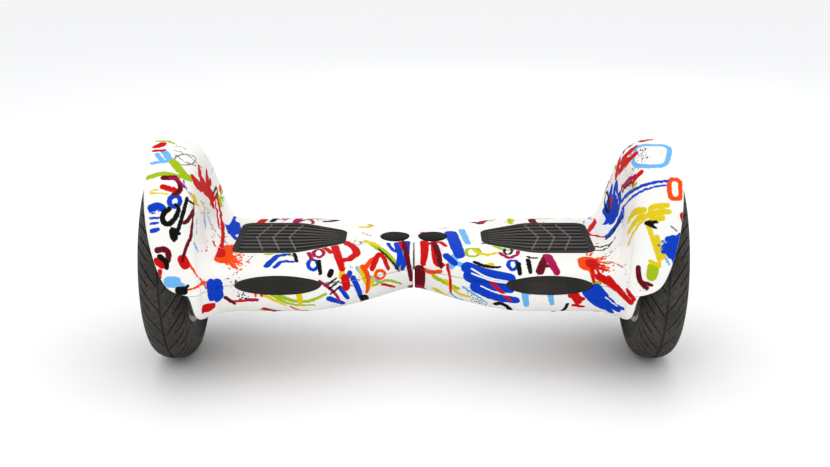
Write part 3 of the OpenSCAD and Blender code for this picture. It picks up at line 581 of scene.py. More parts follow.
marks = (
    # the left-hand fender, from its crown down
    {LIME: [(2.2, -322, 144, -312, 146, -300, 142), (5.0, -300, 119, -292, 108, -280, 99),
      (2.8, -332, 100, -318, 106, -300, 104, -282, 98)],
     RED: [(4.4, -322, 138, -314, 141), (2.4, -325, 133, -312, 134), (4.6, -268, 110, -267, 100, -262, 92),
      (3.8, -276, 100, -270, 90, -262, 86), (5.0, -274, 96, -266, 84, -254, 92),
      (2.0, -262, 88, -256, 76, -253, 64), (3.2, -314, 89, -304, 86, -296, 84), (3.6, -322, -4, -314, -9),
      (2.6, -319, -24, -318, -17), (5.0, -289, -2, -286, -8), (6.0, -259, 102, -257, 92),
      (7.0, -262, 86, -256, 80, -252, 74), (4.0, -254, 74, -251, 62),
      (2.4, -246, 76, -243, 62, -240, 46, -238, 30, -240, 12), (1.6, -248, 66, -245, 48, -243, 34),
      (5.0, -262, -64, -252, -62), (1.6, -230, -56, -212, -54, -200, -54)],
     SKY: [(3.8, -312, 132, -305, 122), (2.6, -321, 128, -314, 121), (2.0, -328, 118, -316, 120, -300, 120),
      (1.6, -271, 48, -271, 30), (1.8, -274, 18, -270, 8), (5.6, -306, -30, -298, -30),
      (2.2, -298, -30, -289, -34), (5.0, -230, 46, -232, 38), (2.4, -262, 56, -260, 36)],
     YELLOW: [(1.0, -330, 84, -314, 87, -306, 84), (1.0, -330, 80, -316, 82, -306, 79),
      (4.2, -274, 74, -272, 68), (1.3, -281, 80, -274, 72, -268, 64)],
     PENCIL: [(0.9, -300, 134, -286, 130, -270, 118, -262, 104), (0.9, -298, 128, -288, 120, -272, 114),
      (0.9, -264, 112, -256, 100, -254, 80), (0.9, -258, 60, -254, 40, -240, 20, -226, 14),
      (0.9, -266, 70, -256, 50, -252, 30, -244, 20)],
     MAROON: [(3.0, -313, 100, -300, 101, -291, 92, -293, 82, -300, 80),
      (2.8, -274, 68, -276, 44, -279, 24), (2.4, -274, 62, -282, 46, -288, 44),
      (1.8, -280, 24, -286, 10, -290, -4),
      (3.0, -321, 10, -312, 12, -306, 6, -308, -4), (1.8, -236, -50, -224, -58)],
     MAGENTA: [(2.0, -305, 100, -293, 97, -288, 88), (2.0, -207, -53, -196, -53)],
     BLUE: [(4.2, -328, 63, -320, 66, -313, 61), (1.2, -330, 57, -320, 56), (1.3, -330, 50, -319, 50),
      (1.3, -329, 43, -320, 44), (2.2, -328, 34, -320, 36), (1.0, -288, 96, -284, 84, -276, 78),
      (8.0, -227, 40, -224, 30), (4.2, -228, 48, -226, 38, -224, 28), (2.6, -232, 50, -222, 54),
      (2.6, -230, 32, -222, 22), (6.0, -253, -34, -252, -48), (6.0, -246, -34, -244, -50)],
     BLACK: [(2.7, -306, 62, -314, 56, -315, 46, -307, 41, -298, 50, -293, 62, -298, 67),
      (2.2, -283, 74, -288, 58, -294, 38, -300, 22), (1.3, -283, 73, -275, 66), (4.0, -301, 34, -300, 26),
      (2.0, -298, 34, -293, 30), (2.6, -318, 2, -310, -4, -309, -12), (4.4, -293, -41, -288, -41),
      (1.8, -288, -40, -283, -35)],
     ORANGE: [(1.4, -284, -4, -272, -20, -264, -29, -260, -38), (1.2, -262, -30, -274, -38, -284, -40),
      (1.2, -270, -36, -260, -30, -250, -28)]},
    # the left-hand half's front
    {LIME: [(2.6, -184, 4, -166, 6, -150, 2), (4.0, -52, 16, -36, 6, -18, -14),
      (2.2, -190, -30, -168, -50, -136, -58, -110, -46), (1.6, -182, -44, -156, -60, -124, -60),
      (1.6, -50, -36, -34, -28, -16, -34), (2.2, -132, 55, -116, 54)],
     YELLOW: [(2.2, -178, 8, -160, 8), (2.8, -60, 20, -44, 14), (3.0, -148, -34, -143, -48, -142, -58),
      (1.8, -200, -40, -178, -52, -160, -60), (2.6, -67, -14, -60, -30, -56, -40),
      (2.4, -46, -18, -52, -32, -58, -42), (2.8, -89, -14, -91, -24), (2.4, -160, 58, -144, 57, -128, 54),
      (3.2, -66, 36, -52, 37)],
     BLUE: [(3.4, -184, -10, -172, 2, -156, 4), (2.4, -174, -12, -164, -4, -150, -6),
      (2.2, -32, 16, -22, 4, -12, 14, -6, 0, -18, -10), (1.6, -28, 22, -16, 22, -8, 16),
      (3.0, -76, -26, -70, -38, -66, -50), (2.4, -92, -38, -82, -52), (3.0, -106, -52, -88, -58),
      (3.4, -21, 16, -16, 0, -21, -13), (3.0, -8, 18, -9, 0, -14, -15), (2.8, -80, -20, -84, -26)],
     MAGENTA: [(2.6, -140, 14, -132, 8, -128, -2), (1.6, -118, -30, -100, -42, -92, -56)],
     BLACK: [(2.0, -150, 6, -146, -6), (1.2, -44, 10, -30, -2, -18, -18), (1.1, -106, -40, -94, -30),
      (1.1, -104, -46, -92, -36), (1.1, -107, -34, -97, -26), (2.8, -105, -22, -103, -17),
      (2.2, -119, -4, -117, -20)],
     RED: [(4.4, -102, 22, -88, 20, -74, 12, -70, 4, -80, -2, -90, -4), (4.2, -100, 16, -94, 0, -90, -14),
      (3.0, -112, 12, -104, 6), (3.0, -52, -14, -42, 10, -32, -14), (2.4, -20, 24, -12, 8),
      (2.0, -210, -40, -196, -36, -190, -48), (1.6, -40, -34, -24, -38), (4.4, -86, -26, -84, -38),
      (2.0, -202, 63, -196, 63)],
     ORANGE: [(2.4, -62, -16, -54, -4, -44, 2), (2.6, -64, -12, -56, -24, -58, -44),
      (1.8, -176, 14, -160, 16)],
     MAROON: [(2.8, -14, 26, -8, -2, -3, -30), (1.8, -108, 20, -96, 28)],
     SKY: [(2.6, -70, -14, -60, -24, -44, -30), (2.4, -14, 10, -12, -6)],
     PENCIL: [(0.9, -210, -8, -204, 0, -196, 6), (0.9, -66, 30, -50, 24, -36, 28),
      (0.9, -120, -34, -96, -30, -76, -36)]},
    # the right-hand half's front
    {RED: [(4.4, 12, 26, 14, 8, 12, -8), (2.8, 18, 16, 30, 20, 40, 14), (1.8, 42, -10, 46, -30, 46, -44),
      (2.6, 24, 20, 26, -10, 37, -10), (2.0, 96, -30, 108, -42, 122, -56), (4.4, 200, -44, 206, -56),
      (2.6, 196, -48, 212, -52), (2.2, 200, -60, 212, -62), (3.8, 232, -24, 250, -34, 272, -56),
      (3.0, 244, -26, 256, -40, 268, -54), (2.2, 266, -40, 276, -52), (3.0, 216, 30, 226, 40, 230, 52),
      (2.4, 214, 28, 228, 26, 238, 24)],
     MAROON: [(3.2, 22, 24, 30, 8, 34, -12), (4.2, 158, -17, 163, -4, 167, 3), (3.0, 162, -10, 174, -10),
      (6.4, 7, -18, 7, -36), (1.6, 86, 16, 104, 20)],
     ORANGE: [(2.4, 8, -14, 20, -20, 34, -18), (2.2, 196, 60, 206, 58), (1.8, 150, 60, 180, 61)],
     BLUE: [(6.6, 46, 30, 52, 16, 58, 2), (3.4, 40, 2, 52, -8), (6.0, 66, -12, 90, -22, 122, -26),
      (5.6, 68, -24, 96, -36, 128, -40), (5.2, 76, -38, 100, -50, 128, -54),
      (7.4, 220, -42, 230, -54, 244, -66), (6.0, 228, -40, 240, -52, 254, -64), (2.4, 250, -60, 262, -64)],
     SKY: [(3.6, 60, 32, 68, 16), (1.6, 62, -38, 78, -48, 92, -58), (3.4, 138, -38, 141, -60),
      (2.8, 170, -42, 173, -58), (5.0, 50, 0, 47, -10), (2.6, 56, -8, 68, -14)],
     LIME: [(2.4, 24, -24, 38, -32, 56, -40), (2.4, 100, 14, 116, 8, 132, 12),
      (3.4, 196, -32, 212, -36, 232, -32), (3.4, 216, 60, 214, 70), (2.0, 66, 44, 86, 52)],
     YELLOW: [(2.2, 40, -30, 54, -46, 70, -50), (2.6, 76, 8, 92, 2, 104, 6), (3.0, 86, -12, 98, -9),
      (1.8, 180, -38, 196, -40), (2.4, 120, 60, 136, 60)],
     BLACK: [(2.0, 76, -6, 92, -12, 108, -12), (2.4, 143, -2, 146, -18), (1.8, 143, 0, 154, -1),
      (2.4, 131, -8, 133, -20)],
     WHITE: [(0.9, 72, -20, 98, -30, 124, -33), (0.9, 72, -14, 92, -26, 118, -30),
      (0.8, 84, -36, 106, -46, 126, -48), (0.9, 240, -50, 256, -62)],
     MAGENTA: [(2.4, 108, 6, 118, -2, 130, 3, 131, 9), (4.4, 167, 3, 172, -6, 179, -18)]},
    # the right-hand fender, from its crown down
    {RED: [(2.4, 282, 144, 298, 147), (4.4, 276, 136, 266, 128, 258, 116),
      (4.2, 277, 128, 264, 118, 256, 104), (3.6, 284, 106, 276, 98, 272, 90), (4.6, 256, 118, 252, 98),
      (4.2, 337, 52, 340, 46)],
     BLACK: [(3.2, 264, 137, 273, 143), (2.8, 268, 139, 259, 129), (1.5, 222, 14, 236, 12, 248, 18),
      (1.5, 240, 22, 252, 34, 258, 46), (1.2, 228, 8, 240, 8, 252, 24)],
     ORANGE: [(2.6, 270, 122, 260, 108)],
     MAGENTA: [(2.4, 276, 102, 266, 94, 258, 82)],
     MAROON: [(1.8, 272, 94, 262, 84, 256, 74), (2.6, 281, -12, 282, -28, 292, -38),
      (1.8, 286, -30, 298, -34)],
     LIME: [(2.2, 278, 92, 272, 84, 264, 72), (5.6, 300, -12, 298, -22)],
     BLUE: [(1.8, 266, 92, 260, 80), (9.0, 252, 84, 250, 66, 248, 46), (9.0, 245, 80, 243, 60, 242, 44),
      (8.0, 256, 72, 253, 56), (7.0, 240, 70, 239, 54), (5.2, 262, 56, 252, 36, 242, 24),
      (2.0, 256, 64, 272, 84, 296, 94, 318, 96), (1.6, 258, 58, 274, 78, 298, 89, 316, 91),
      (4.4, 334, 26, 326, 18, 318, 14), (3.6, 330, 14, 326, 0), (2.6, 318, 24, 326, 26),
      (2.6, 336, 20, 326, -6)],
     SKY: [(3.0, 242, 98, 238, 84, 235, 68), (1.8, 244, 92, 238, 76, 236, 60),
      (1.4, 314, 22, 312, 6, 320, -8)],
     WHITE: [(1.2, 252, 80, 256, 64, 262, 52)],
     YELLOW: [(4.0, 268, 46, 276, 58, 288, 60), (3.8, 268, 32, 280, 50, 290, 52),
      (3.0, 296, 62, 308, 66, 318, 66), (3.2, 294, 54, 308, 58, 320, 58), (3.0, 298, 48, 312, 50),
      (2.0, 268, 16, 276, 36, 290, 50), (2.4, 292, 46, 298, 28, 304, 10, 308, -6), (3.2, 304, 26, 308, 10),
      (3.4, 310, 2, 318, 8), (2.0, 296, -4, 308, -10)],
     PENCIL: [(0.9, 212, 40, 216, 56, 222, 70), (0.9, 232, -10, 246, -4, 262, -12),
      (0.9, 322, 40, 330, 34, 336, 24)]},
)
for area in marks:
    for colour, strokes in area.items():
        for radius, *path in strokes:
            brush(colour, radius, *zip(path[::2], path[1::2]))
ring(BLUE, 2.6, -299, 71, 7.0)
ring(YELLOW, 1.2, -260, 60, 7.0)
ring(MAGENTA, 2.2, -119, 5, 6.5, 0.8)
ring(BLUE, 2.2, -126, -9, 6.5)
ring(BLUE, 2.2, 124, -9, 6.0)
ring(BLACK, 1.6, 118, 8, 5.0)
ring(ORANGE, 1.6, -42, -22, 6.0, 0.9)
ring(LIME, 2.0, 74, 6, 9.0, 0.6)
ring(PENCIL, 0.9, -286, 122, 14.0, 0.5)
frame_shape(SKY, 2.6, 297, 127, 22, 13, 3)
frame_shape(ORANGE, 2.4, 327, 86, 7, 12, -1)
splat(ORANGE, -240, 2, 9.5, 1, -0.4, 3.0, 14)
splat(RED, -246, 8, 8.0, 2, 2.2, 2.0, 6)
splat(ORANGE, -232, 12, 8.0, 9, -0.2, 3.4, 12)
splat(ORANGE, 217, -4, 9.5, 3, 0.0, 3.6, 16)
splat(RED, 222, -6, 6.0, 4, -0.6, 3.8, 10)
splat(BLUE, 322, 8, 5.0, 5, 2.6, 3.0, 8)
splat(ORANGE, -198, -42, 3.6, 6, -0.3, 3.0, 8)
splat(BLACK, 290, 44, 1.6, 7, 0.0, 9.0, 16)

dice = np.random.default_rng(21)
bright = [c for c in PAINT if c not in (PENCIL, WHITE)]


def free_stroke(u, v, bow, shortest, longest, by):
    """Three steps from (u, v) that turn as they go, with the colour and the width drawn by lot."""
    bearing, bend = dice.uniform(0, math.pi), dice.normal(0, bow)
    turns = bearing + bend * np.arange(3)
    steps = dice.uniform(shortest, longest) * np.column_stack([np.cos(turns), np.sin(turns)])
    colour, radius = str(dice.choice(bright)), dice.uniform(1.6, 5.2)
    brush(colour, radius, (u, v), *((u, v) + np.cumsum(steps, axis=0)), by=by)


for _ in range(120):
    u, v = dice.uniform(-335, 335), dice.uniform(-58, 62)
    v += dice.uniform(0, 90) * (abs(u) > 235)
    free_stroke(u, v, 0.9, 5, 17, behind)
for _ in range(9):
    u, v = dice.uniform(-320, 320), dice.uniform(-30, 40)
    ring(str(dice.choice(bright)), dice.uniform(1.6, 2.6), u, v, dice.uniform(6, 12), by=behind)
    colour, radius = str(dice.choice(bright)), dice.uniform(3, 8)
    splat(colour, -u, v + 8, radius, int(abs(u)), dice.uniform(-3, 3), by=behind)
for _ in range(26):
    u, v = dice.uniform(-320, 320), dice.uniform(-40, 60) + 60 * dice.uniform(0, 1)
    bend, end = u + dice.uniform(-20, 20), u + dice.uniform(-24, 24)
    brush(PENCIL, 0.9, (u, v), (bend, v + 12), (end, v + 20), by=behind)
for _ in range(90):
    u, v = dice.uniform(-250, 250), dice.uniform(-95, 95)
    free_stroke(u, v, 0.8, 6, 18, below)
for _ in range(6):
    u, v = dice.uniform(-230, 230), dice.uniform(-80, 80)
    colour, radius = str(dice.choice(bright)), dice.uniform(3, 8)
    splat(colour, u, v, radius, int(abs(u)), dice.uniform(-3, 3), by=below)

first = 0
for name, made in shells.items():
    last = first + len(skin[name])
    for colour, distance in field.items():
        layer = made.data.attributes.new(colour, "FLOAT", "POINT")
        layer.data.foreach_set("value", distance[first:last].astype(np.float32))
    first = last


def node(tree, kind, inputs=None, **settings):
    """Adds a shader node, makes its settings, and gives each named input a value or the socket to link."""
    made = tree.nodes.new("ShaderNode" + kind)
    for key, value in settings.items():
        setattr(made, key, value)
    for key, value in (inputs or {}).items():
        if isinstance(value, bpy.types.NodeSocket):
            tree.links.new(value, made.inputs[key])
        else:
            made.inputs[key].default_value = value
    return made


def new_finish(name, **constants):
    """A material with its node tree, its shader, and the piece's own coordinates."""
    material = bpy.data.materials.new(name)
    material.use_nodes = True
    tree = material.node_tree
    shader = tree.nodes["Principled BSDF"]
    for key, value in constants.items():
        shader.inputs[key.replace("_", " ").title().replace("Ior", "IOR")].default_value = value
    return material, tree, shader, node(tree, "TexCoord").outputs["Object"]


def noise(tree, place, scale, detail):
    """Soft noise of the given scale, between 0 and 1."""
    return node(tree, "TexNoise", {"Vector": place, "Scale": scale, "Detail": detail}).outputs["Fac"]


def scaled(tree, value, low, high, to_low=0.0, to_high=1.0):
    """The value carried from one range over to another, and held at both ends."""
    return node(tree, "MapRange", {"Value": value, "From Min": low, "From Max": high, "To Min": to_low,
                                   "To Max": to_high}).outputs[0]


def blended(tree, share, a, b):
    """The colour a share of the way from a to b."""
    return node(tree, "Mix", {"Factor": share, "A": a, "B": b}, data_type="RGBA").outputs["Result"]


def painted_plastic():
    """White gloss plastic; a colour shows where its distance, roughened by noise, falls below zero."""
    material, tree, shader, place = new_finish(
        "painted_plastic", coat_weight=0.10, coat_roughness=0.05, specular_ior_level=0.0)
    grain = noise(tree, place, 320.0, 3.0)
    bristles = node(tree, "Mapping", {"Vector": place, "Rotation": (0.3, 0.5, 0.7), "Scale": (60, 420, 420)})
    streak = noise(tree, bristles.outputs["Vector"], 5.0, 2.0)
    rough = node(tree, "Math", {0: grain, 1: 1.7, 2: -0.85}, operation="MULTIPLY_ADD").outputs[0]
    dry = scaled(tree, streak, 0.60, 0.76, 0.0, 1.5)
    edge = node(tree, "Math", {0: rough, 1: dry}, operation="ADD").outputs[0]
    cloud = noise(tree, place, 14.0, 3.0)
    colour = blended(tree, cloud, (0.80, 0.79, 0.745, 1), (0.87, 0.865, 0.845, 1))
    dots = node(tree, "TexVoronoi", {"Vector": place, "Scale": 360.0}).outputs["Distance"]
    size = scaled(tree, noise(tree, place, 21.0, 2.0), 0.60, 0.72, 0.0, 0.42)
    speck = node(tree, "Math", {0: dots, 1: size}, operation="LESS_THAN").outputs[0]
    colour = blended(tree, speck, colour, (0.03, 0.03, 0.03, 1))
    for paint, tint in PAINT.items():
        distance = node(tree, "Attribute", attribute_name=paint).outputs["Fac"]
        if paint not in (PENCIL, WHITE):
            distance = node(tree, "Math", {0: distance, 1: edge}, operation="ADD").outputs[0]
        thin = (*(0.78 * c for c in tint), 1)
        thick = (*(min(1.0, 1.22 * c + 0.012) for c in tint), 1)
        colour = blended(tree, scaled(tree, distance, 0.3, -0.3), colour, blended(tree, streak, thin, thick))
    tree.links.new(colour, shader.inputs["Base Color"])
    tree.links.new(scaled(tree, cloud, 0.0, 1.0, 0.22, 0.36), shader.inputs["Roughness"])
    peel = node(tree, "Bump", {"Height": grain, "Strength": 0.25, "Distance": 0.00008})
    tree.links.new(peel.outputs["Normal"], shader.inputs["Normal"])
    return material


shell_finish = painted_plastic()
for made in shells.values():
    made.data.materials.clear()
    made.data.materials.append(shell_finish)


def grained(name, dark, light, grain, rough, relief=0.0001, stretch=(1, 1, 1), **constants):
    """A finish mottled between two colours and two roughnesses, with a fine relief of the same grain."""
    material, tree, shader, place = new_finish(name, **constants)
    spot = node(tree, "Mapping", {"Vector": place, "Scale": stretch}).outputs["Vector"]
    fine, broad = noise(tree, spot, grain, 4.0), noise(tree, place, 24.0, 3.0)
    both = node(tree, "Math", {0: fine, 1: broad}, operation="MULTIPLY").outputs[0]
    tint = blended(tree, scaled(tree, both, 0.12, 0.42), (*dark, 1), (*light, 1))
    depth = node(tree, "Attribute", attribute_name="sunk").outputs["Fac"]
    worn = blended(tree, scaled(tree, depth, 0.0, -1.0), tint, (0.20, 0.19, 0.18, 1))
    # Painted shade: wherever sunk is above 0, in slots, sipes and pockets, the colour darkens towards near
    # black.
    recess_shade = blended(tree, scaled(tree, depth, 0.0, 1.0, 0.0, 0.85), worn, (0.003, 0.003, 0.003, 1))
    tree.links.new(recess_shade, shader.inputs["Base Color"])
    tree.links.new(scaled(tree, broad, 0.3, 0.7, *rough), shader.inputs["Roughness"])
    bump = node(tree, "Bump", {"Height": fine, "Strength": 0.5, "Distance": relief})
    tree.links.new(bump.outputs["Normal"], shader.inputs["Normal"])
    return material


# ---- Foot pads --------------------------------------------------------------------------------
# One mat of dark rubber per foot, on springs over the switches, held down by a flange under the
# deck's edge. Slots between ribs draw together towards the waist, and three chevrons cross them.
pad_top = 25.0
flange_top = 20.2
flange_t = 1.6
flange_w = 3.0
slot_depth = 3.2
slot_half = 0.056
slot_rows = (np.arange(8) - 3.5) * 0.225
chevrons = [pad_out_x - inset for inset in (24.0, 44.0, 64.0)]
chevron_sweep = 15.0
chevron_half = 1.1
field_margin, field_half = 8.0, 0.86
# Painted shade in the slots, up to 1; the ribs and chevrons paler with wear, below 0; the border a little
# darker.
slot_shade, chevron_wear, rib_wear, rim_darkening = 1.15, -1.0, -0.34, 0.2
wall_run = 0.8


def ramp(distance, run=wall_run):
    """0 to 1 over a run centred on zero distance."""
    return np.clip(distance / run + 0.5, 0, 1)


def pad_relief(x, t, half):
    """Depth, and wear with painted shade, at x and at share t of the half width: slots at fixed shares,
    chevrons across.
    """
    inner = ramp(pad_out_x - field_margin - x) * ramp(x - pad_in_x - field_margin)
    inner = inner * ramp((field_half - np.abs(t)) * half)
    slots = inner * np.max([ramp((slot_half - np.abs(t - row)) * half) for row in slot_rows], axis=0)
    swept = x + chevron_sweep * np.abs(t)
    crossing = inner * np.max([ramp(chevron_half - np.abs(swept - apex)) for apex in chevrons], axis=0)
    # Painted shade in the slots where no chevron crosses; paler wear on the chevrons and on the ribs.
    wear_and_shade = slot_shade * slots * (1 - crossing) + chevron_wear * crossing
    wear_and_shade = wear_and_shade + rib_wear * (inner - slots).clip(0) + rim_darkening * (1 - inner)
    return slot_depth * slots * (1 - 0.9 * crossing), wear_and_shade


def lofted(name, grid, ring=False, sunk=None):
    """Skins rows of closed loops, and closes the ends: with a face each, or onto each other in a ring.

    sunk says how deep in a groove each point lies, from 0 to 1, or how worn it is, down to -1; the
    finishes paint shade into the grooves with it, darker the deeper, and pale the worn points.
    """
    rows, n = grid.shape[:2]
    at = np.arange(rows * n).reshape(rows, n)
    if ring:
        at = np.vstack([at, at[:1]])
    beside = np.roll(at, -1, axis=1)
    quads = np.stack([at[:-1], beside[:-1], beside[1:], at[1:]], axis=2).reshape(-1, 4).tolist()
    ends = [] if ring else [at[0, ::-1].tolist(), at[-1].tolist()]
    mesh = bpy.data.meshes.new(name)
    mesh.from_pydata(grid.reshape(-1, 3) * MM, [], quads + ends)
    if sunk is not None:
        layer = mesh.attributes.new("sunk", "FLOAT", "POINT")
        layer.data.foreach_set("value", sunk.ravel().astype(np.float32))
    shape = bmesh.new()
    shape.from_mesh(mesh)
    bmesh.ops.remove_doubles(shape, verts=shape.verts, dist=1e-6)
    bmesh.ops.delete(shape, geom=[e for e in shape.edges if not e.link_faces], context="EDGES")
    bmesh.ops.recalc_face_normals(shape, faces=shape.faces)
    shape.to_mesh(mesh)
    shape.free()
    return mesh


def foot_pad(name, side):
    """The pad as loops at stations along x: its ribbed top, its sides and the flange below."""
    outline = pad_outline(0.0)
    edge = outline[outline[:, 1] > 0]
    edge = edge[np.argsort(edge[:, 0], kind="stable")]
    close = np.array([0.0, 0.05, 0.2, 0.5, 0.9])
    between = np.arange(pad_in_x + 1.4, pad_out_x - 1.2, 0.5)
    x = np.concatenate([pad_in_x + close, between, pad_out_x - close[::-1]])
    half = np.interp(x, edge[:, 0], edge[:, 1])[:, None]
    t = np.linspace(-1, 1, 241)[None, :]
    soft = 0.7 * np.clip(1 - (1 - np.abs(t)) * half / 0.9, 0, 1) ** 2
    relief, wear_and_shade = pad_relief(x[:, None], t, half)
    top = pad_top - relief - soft
    under = np.array([[1, 0, flange_top], [1, 1, flange_top], [1, 1, flange_top - flange_t],
                      [-1, 1, flange_top - flange_t], [-1, 1, flange_top], [-1, 0, flange_top]])
    y = np.hstack([t * half, under[:, 0] * (half + under[:, 1] * flange_w)])
    z = np.hstack([top, 0 * half + under[:, 2]]) + tyre_r
    # The slots carry a painted shade and the ribs and chevrons carry wear; the flange carries neither.
    sunk = np.hstack([wear_and_shade, np.zeros((len(x), len(under)))])
    return lofted(name, np.stack([side * x[:, None] + 0 * y, y, z], axis=2), sunk=sunk)


pad_finish = grained(
    "pad_rubber", (0.032, 0.030, 0.029), (0.098, 0.093, 0.088), 900.0, (0.50, 0.68), 0.00012,
    specular_ior_level=0.02)
for side_name, side in SIDES.items():
    name = side_name + "_foot_mat"
    piece(name, foot_pad(name, side), side_name + "_pad", side_name + "_foot_pad", pad_finish)

# ---- Tyres ------------------------------------------------------------------------------------
# Fat 10 inch pneumatic tyres of black rubber: a centre groove, slanted sipes cut in from both
# shoulders by turns long and short, and fine rings on the side walls. They sit on the rims' beads.
bead_r = 76.0
bead_x = 17.0
wide_r = (bead_r + tyre_r) / 2
casing_t = 5.0
pitches = 26
sipe_depth = 2.2
sipe_slant = 1.5
groove_half, groove_depth = 1.2, 1.6
crown_power = 0.87
inner_bead_x, core_r, core_share = 11.0, 85.0, 0.35
wall_rings = ((84.0, 0.35, 0.9), (90.0, 0.3, 0.7))
sipe_steps = np.array([-1.15, -0.8, 0.8, 1.15, 3.0, 4.9])
sipe_starts, sipe_ends = (3.0, 13.5), (22.5, 26.6)


def casing(half_w, top, low_x, side_n, crown_n):
    """Half of a casing's section (x, r): a quarter ellipse up the side wall, then a squarer one."""
    up = np.linspace(0, math.pi / 2, side_n + 1)[:-1]
    over = np.linspace(0, math.pi / 2, crown_n + 1)
    over_x = half_w * np.clip(np.cos(over), 0, 1) ** crown_power
    over_r = wide_r + (top - wide_r) * np.sin(over) ** crown_power
    x = np.concatenate([half_w - (half_w - low_x) * np.cos(up), over_x])
    return x, np.concatenate([mix(bead_r, wide_r, np.sin(up)), over_r])


def tyre(name, side):
    """The casing's section carried round the axle, each point turned on by its distance from the middle.

    Four kinds of row follow each other: a long sipe on either side, then a short one on either side.
    """
    x, r = casing(tyre_w / 2, tyre_r, bead_x, 18, 44)
    for ring_r, proud, width in wall_rings:
        x = x + proud * np.exp(-((r - ring_r) / width) ** 2) * (x > 15)
    lip = np.array([groove_half + 0.25, groove_half - 0.1])
    x = np.concatenate([x[:-1][x[:-1] > lip[0]], lip])
    r = np.concatenate([r[:len(x) - 2], [tyre_r, tyre_r - groove_depth]])
    inner_x, inner_r = casing(tyre_w / 2 - casing_t, tyre_r - casing_t, inner_bead_x, 4, 8)
    x = np.concatenate([x, -x[::-1], -inner_x, inner_x[:-1][::-1]])
    r = np.concatenate([r, r[::-1], inner_r, inner_r[:-1][::-1]])
    quarter = 2 * math.pi * tyre_r / pitches / 4
    round_mm = (np.arange(pitches * 4)[:, None] * quarter + sipe_steps).reshape(-1, 1)
    kind = np.repeat(np.arange(pitches * 4) % 4, len(sipe_steps))[:, None]
    in_sipe = np.tile([0, 1, 1, 0, 0, 0], pitches * 4)[:, None] > 0
    across = np.where(kind % 2 == 0, x, -x)
    start, end = np.where(kind < 2, *sipe_starts), np.where(kind < 2, *sipe_ends)
    depth = sipe_depth * in_sipe * ramp(across - start, 0.8) * ramp(end - across, 0.8) * (r > wide_r + 2)
    turn = (round_mm - sipe_slant * np.abs(x)) / tyre_r
    to_core = np.stack([x * core_share, r - core_r])
    to_core = to_core / np.hypot(*to_core)
    px, pr = x - depth * to_core[0], r - depth * to_core[1]
    grid = np.stack([side * (wheel_x + px), pr * np.cos(turn), tyre_r + pr * np.sin(turn)], axis=2)
    # The sipes' depth darkens the rubber there: a painted shade in the sipes.
    return lofted(name, grid, ring=True, sunk=depth / sipe_depth)


tyre_finish = grained(
    "tyre_rubber", (0.034, 0.031, 0.027), (0.090, 0.083, 0.073), 260.0, (0.55, 0.8), 0.00025,
    specular_ior_level=0.3)
for side_name, side in SIDES.items():
    name = side_name + "_tread"
    piece(name, tyre(name, side), side_name + "_wheel", side_name + "_tyre", tyre_finish)

# ---- Motor covers -----------------------------------------------------------------------------
# Cast aluminium discs that close the hub motor on both sides, each held to the rim by six screws:
# the outer one has six pockets between spokes and a hub cap, the inner one has radial ribs.
cover_x = 21.0
cover_t = 4.0
cover_r = 75.0
screw_ring_r = 66.0
spoke_half, cap_r = 7.0, 24.0
pocket_in, pocket_out, pocket_deep = 31.0, 61.0, 2.3
boss_r, rib_half = 22.0, 2.4


def outer_face(r, a):
    """Height of the outer cover: flat rim, pockets cut between six spokes, and a domed hub cap."""
    off_spoke = np.abs((a * 3 / math.pi + 0.5) % 1 - 0.5) * math.pi / 3 * r
    pocket = ramp(off_spoke - spoke_half, 2.4) * ramp(r - pocket_in, 3.0) * ramp(pocket_out - r, 3.0)
    cap = ramp(cap_r - r, 1.6) * (1.0 + 0.5 * (1 - np.clip(r / cap_r, 0, 1) ** 2))
    return cover_x + cover_t - 0.4 * ramp(screw_ring_r - r, 1.2) - pocket_deep * pocket + cap


def inner_face(r, a):
    """Height of the inner cover: twelve ribs that run from the boss towards the rim."""
    off_rib = np.abs((a * 6 / math.pi + 0.5) % 1 - 0.5) * math.pi / 6 * r
    rib = ramp(rib_half - off_rib, 1.2) * ramp(62.0 - r, 2.0) * ramp(r - boss_r, 2.0)
    hollow = ramp(62.5 - r, 2.0) * ramp(r - boss_r - 0.5, 2.0)
    return cover_x + cover_t - 1.6 * hollow + 1.6 * rib + 1.3 * ramp(boss_r - r, 1.2)


def motor_cover(name, side, way, bore, face):
    """A disc whose section follows the face's height, carried round the axle."""
    outward = np.arange(cap_r + 0.4, cover_r - 1.2, 0.55)
    r = np.concatenate([np.linspace(bore, cap_r, 16), outward, [cover_r - 0.6, cover_r]])
    a = np.linspace(0, 2 * math.pi, 361)[:-1, None]
    h = face(r[None, :], a) - np.array([0.0] * (len(r) - 1) + [0.6])
    x = np.hstack([h, np.full((len(a), 2), cover_x)])
    r = np.concatenate([r, [cover_r, bore]])[None, :]
    # The pockets darken with their depth: a painted shade in the pockets.
    sunk = np.hstack([0.45 * np.clip((cover_x + cover_t - 0.5 - h) / 2.2, 0, 1), np.zeros((len(a), 2))])
    grid = np.stack([side * (wheel_x + way * x), r * np.cos(a), tyre_r + r * np.sin(a)], axis=2)
    return lofted(name, grid, ring=True, sunk=sunk)


cover_finish = grained(
    "cast_cover", (0.25, 0.245, 0.235), (0.42, 0.41, 0.395), 520.0, (0.34, 0.50), 0.00009, metallic=0.85)
for side_name, side in SIDES.items():
    for part, way, bore, face in (("outer", 1, 0.0, outer_face), ("inner", -1, 8.8, inner_face)):
        name = f"{side_name}_{part}_disc"
        mesh = motor_cover(name, side, way, bore, face)
        piece(name, mesh, side_name + "_wheel", f"{side_name}_{part}_cover", cover_finish)

# ---- Windows and oval lights ------------------------------------------------------------------
# Gloss black domes over the indicator lamps at the waist, and satin ovals with a dark lens over
# the running lights on the front and the back. All of them snap into the shells from outside.
dome_rings = np.concatenate([np.linspace(0, 0.86, 16), [0.90, 0.925, 0.95, 0.975, 0.99, 1.0]])
window_back, light_back = 22.0, 104.0


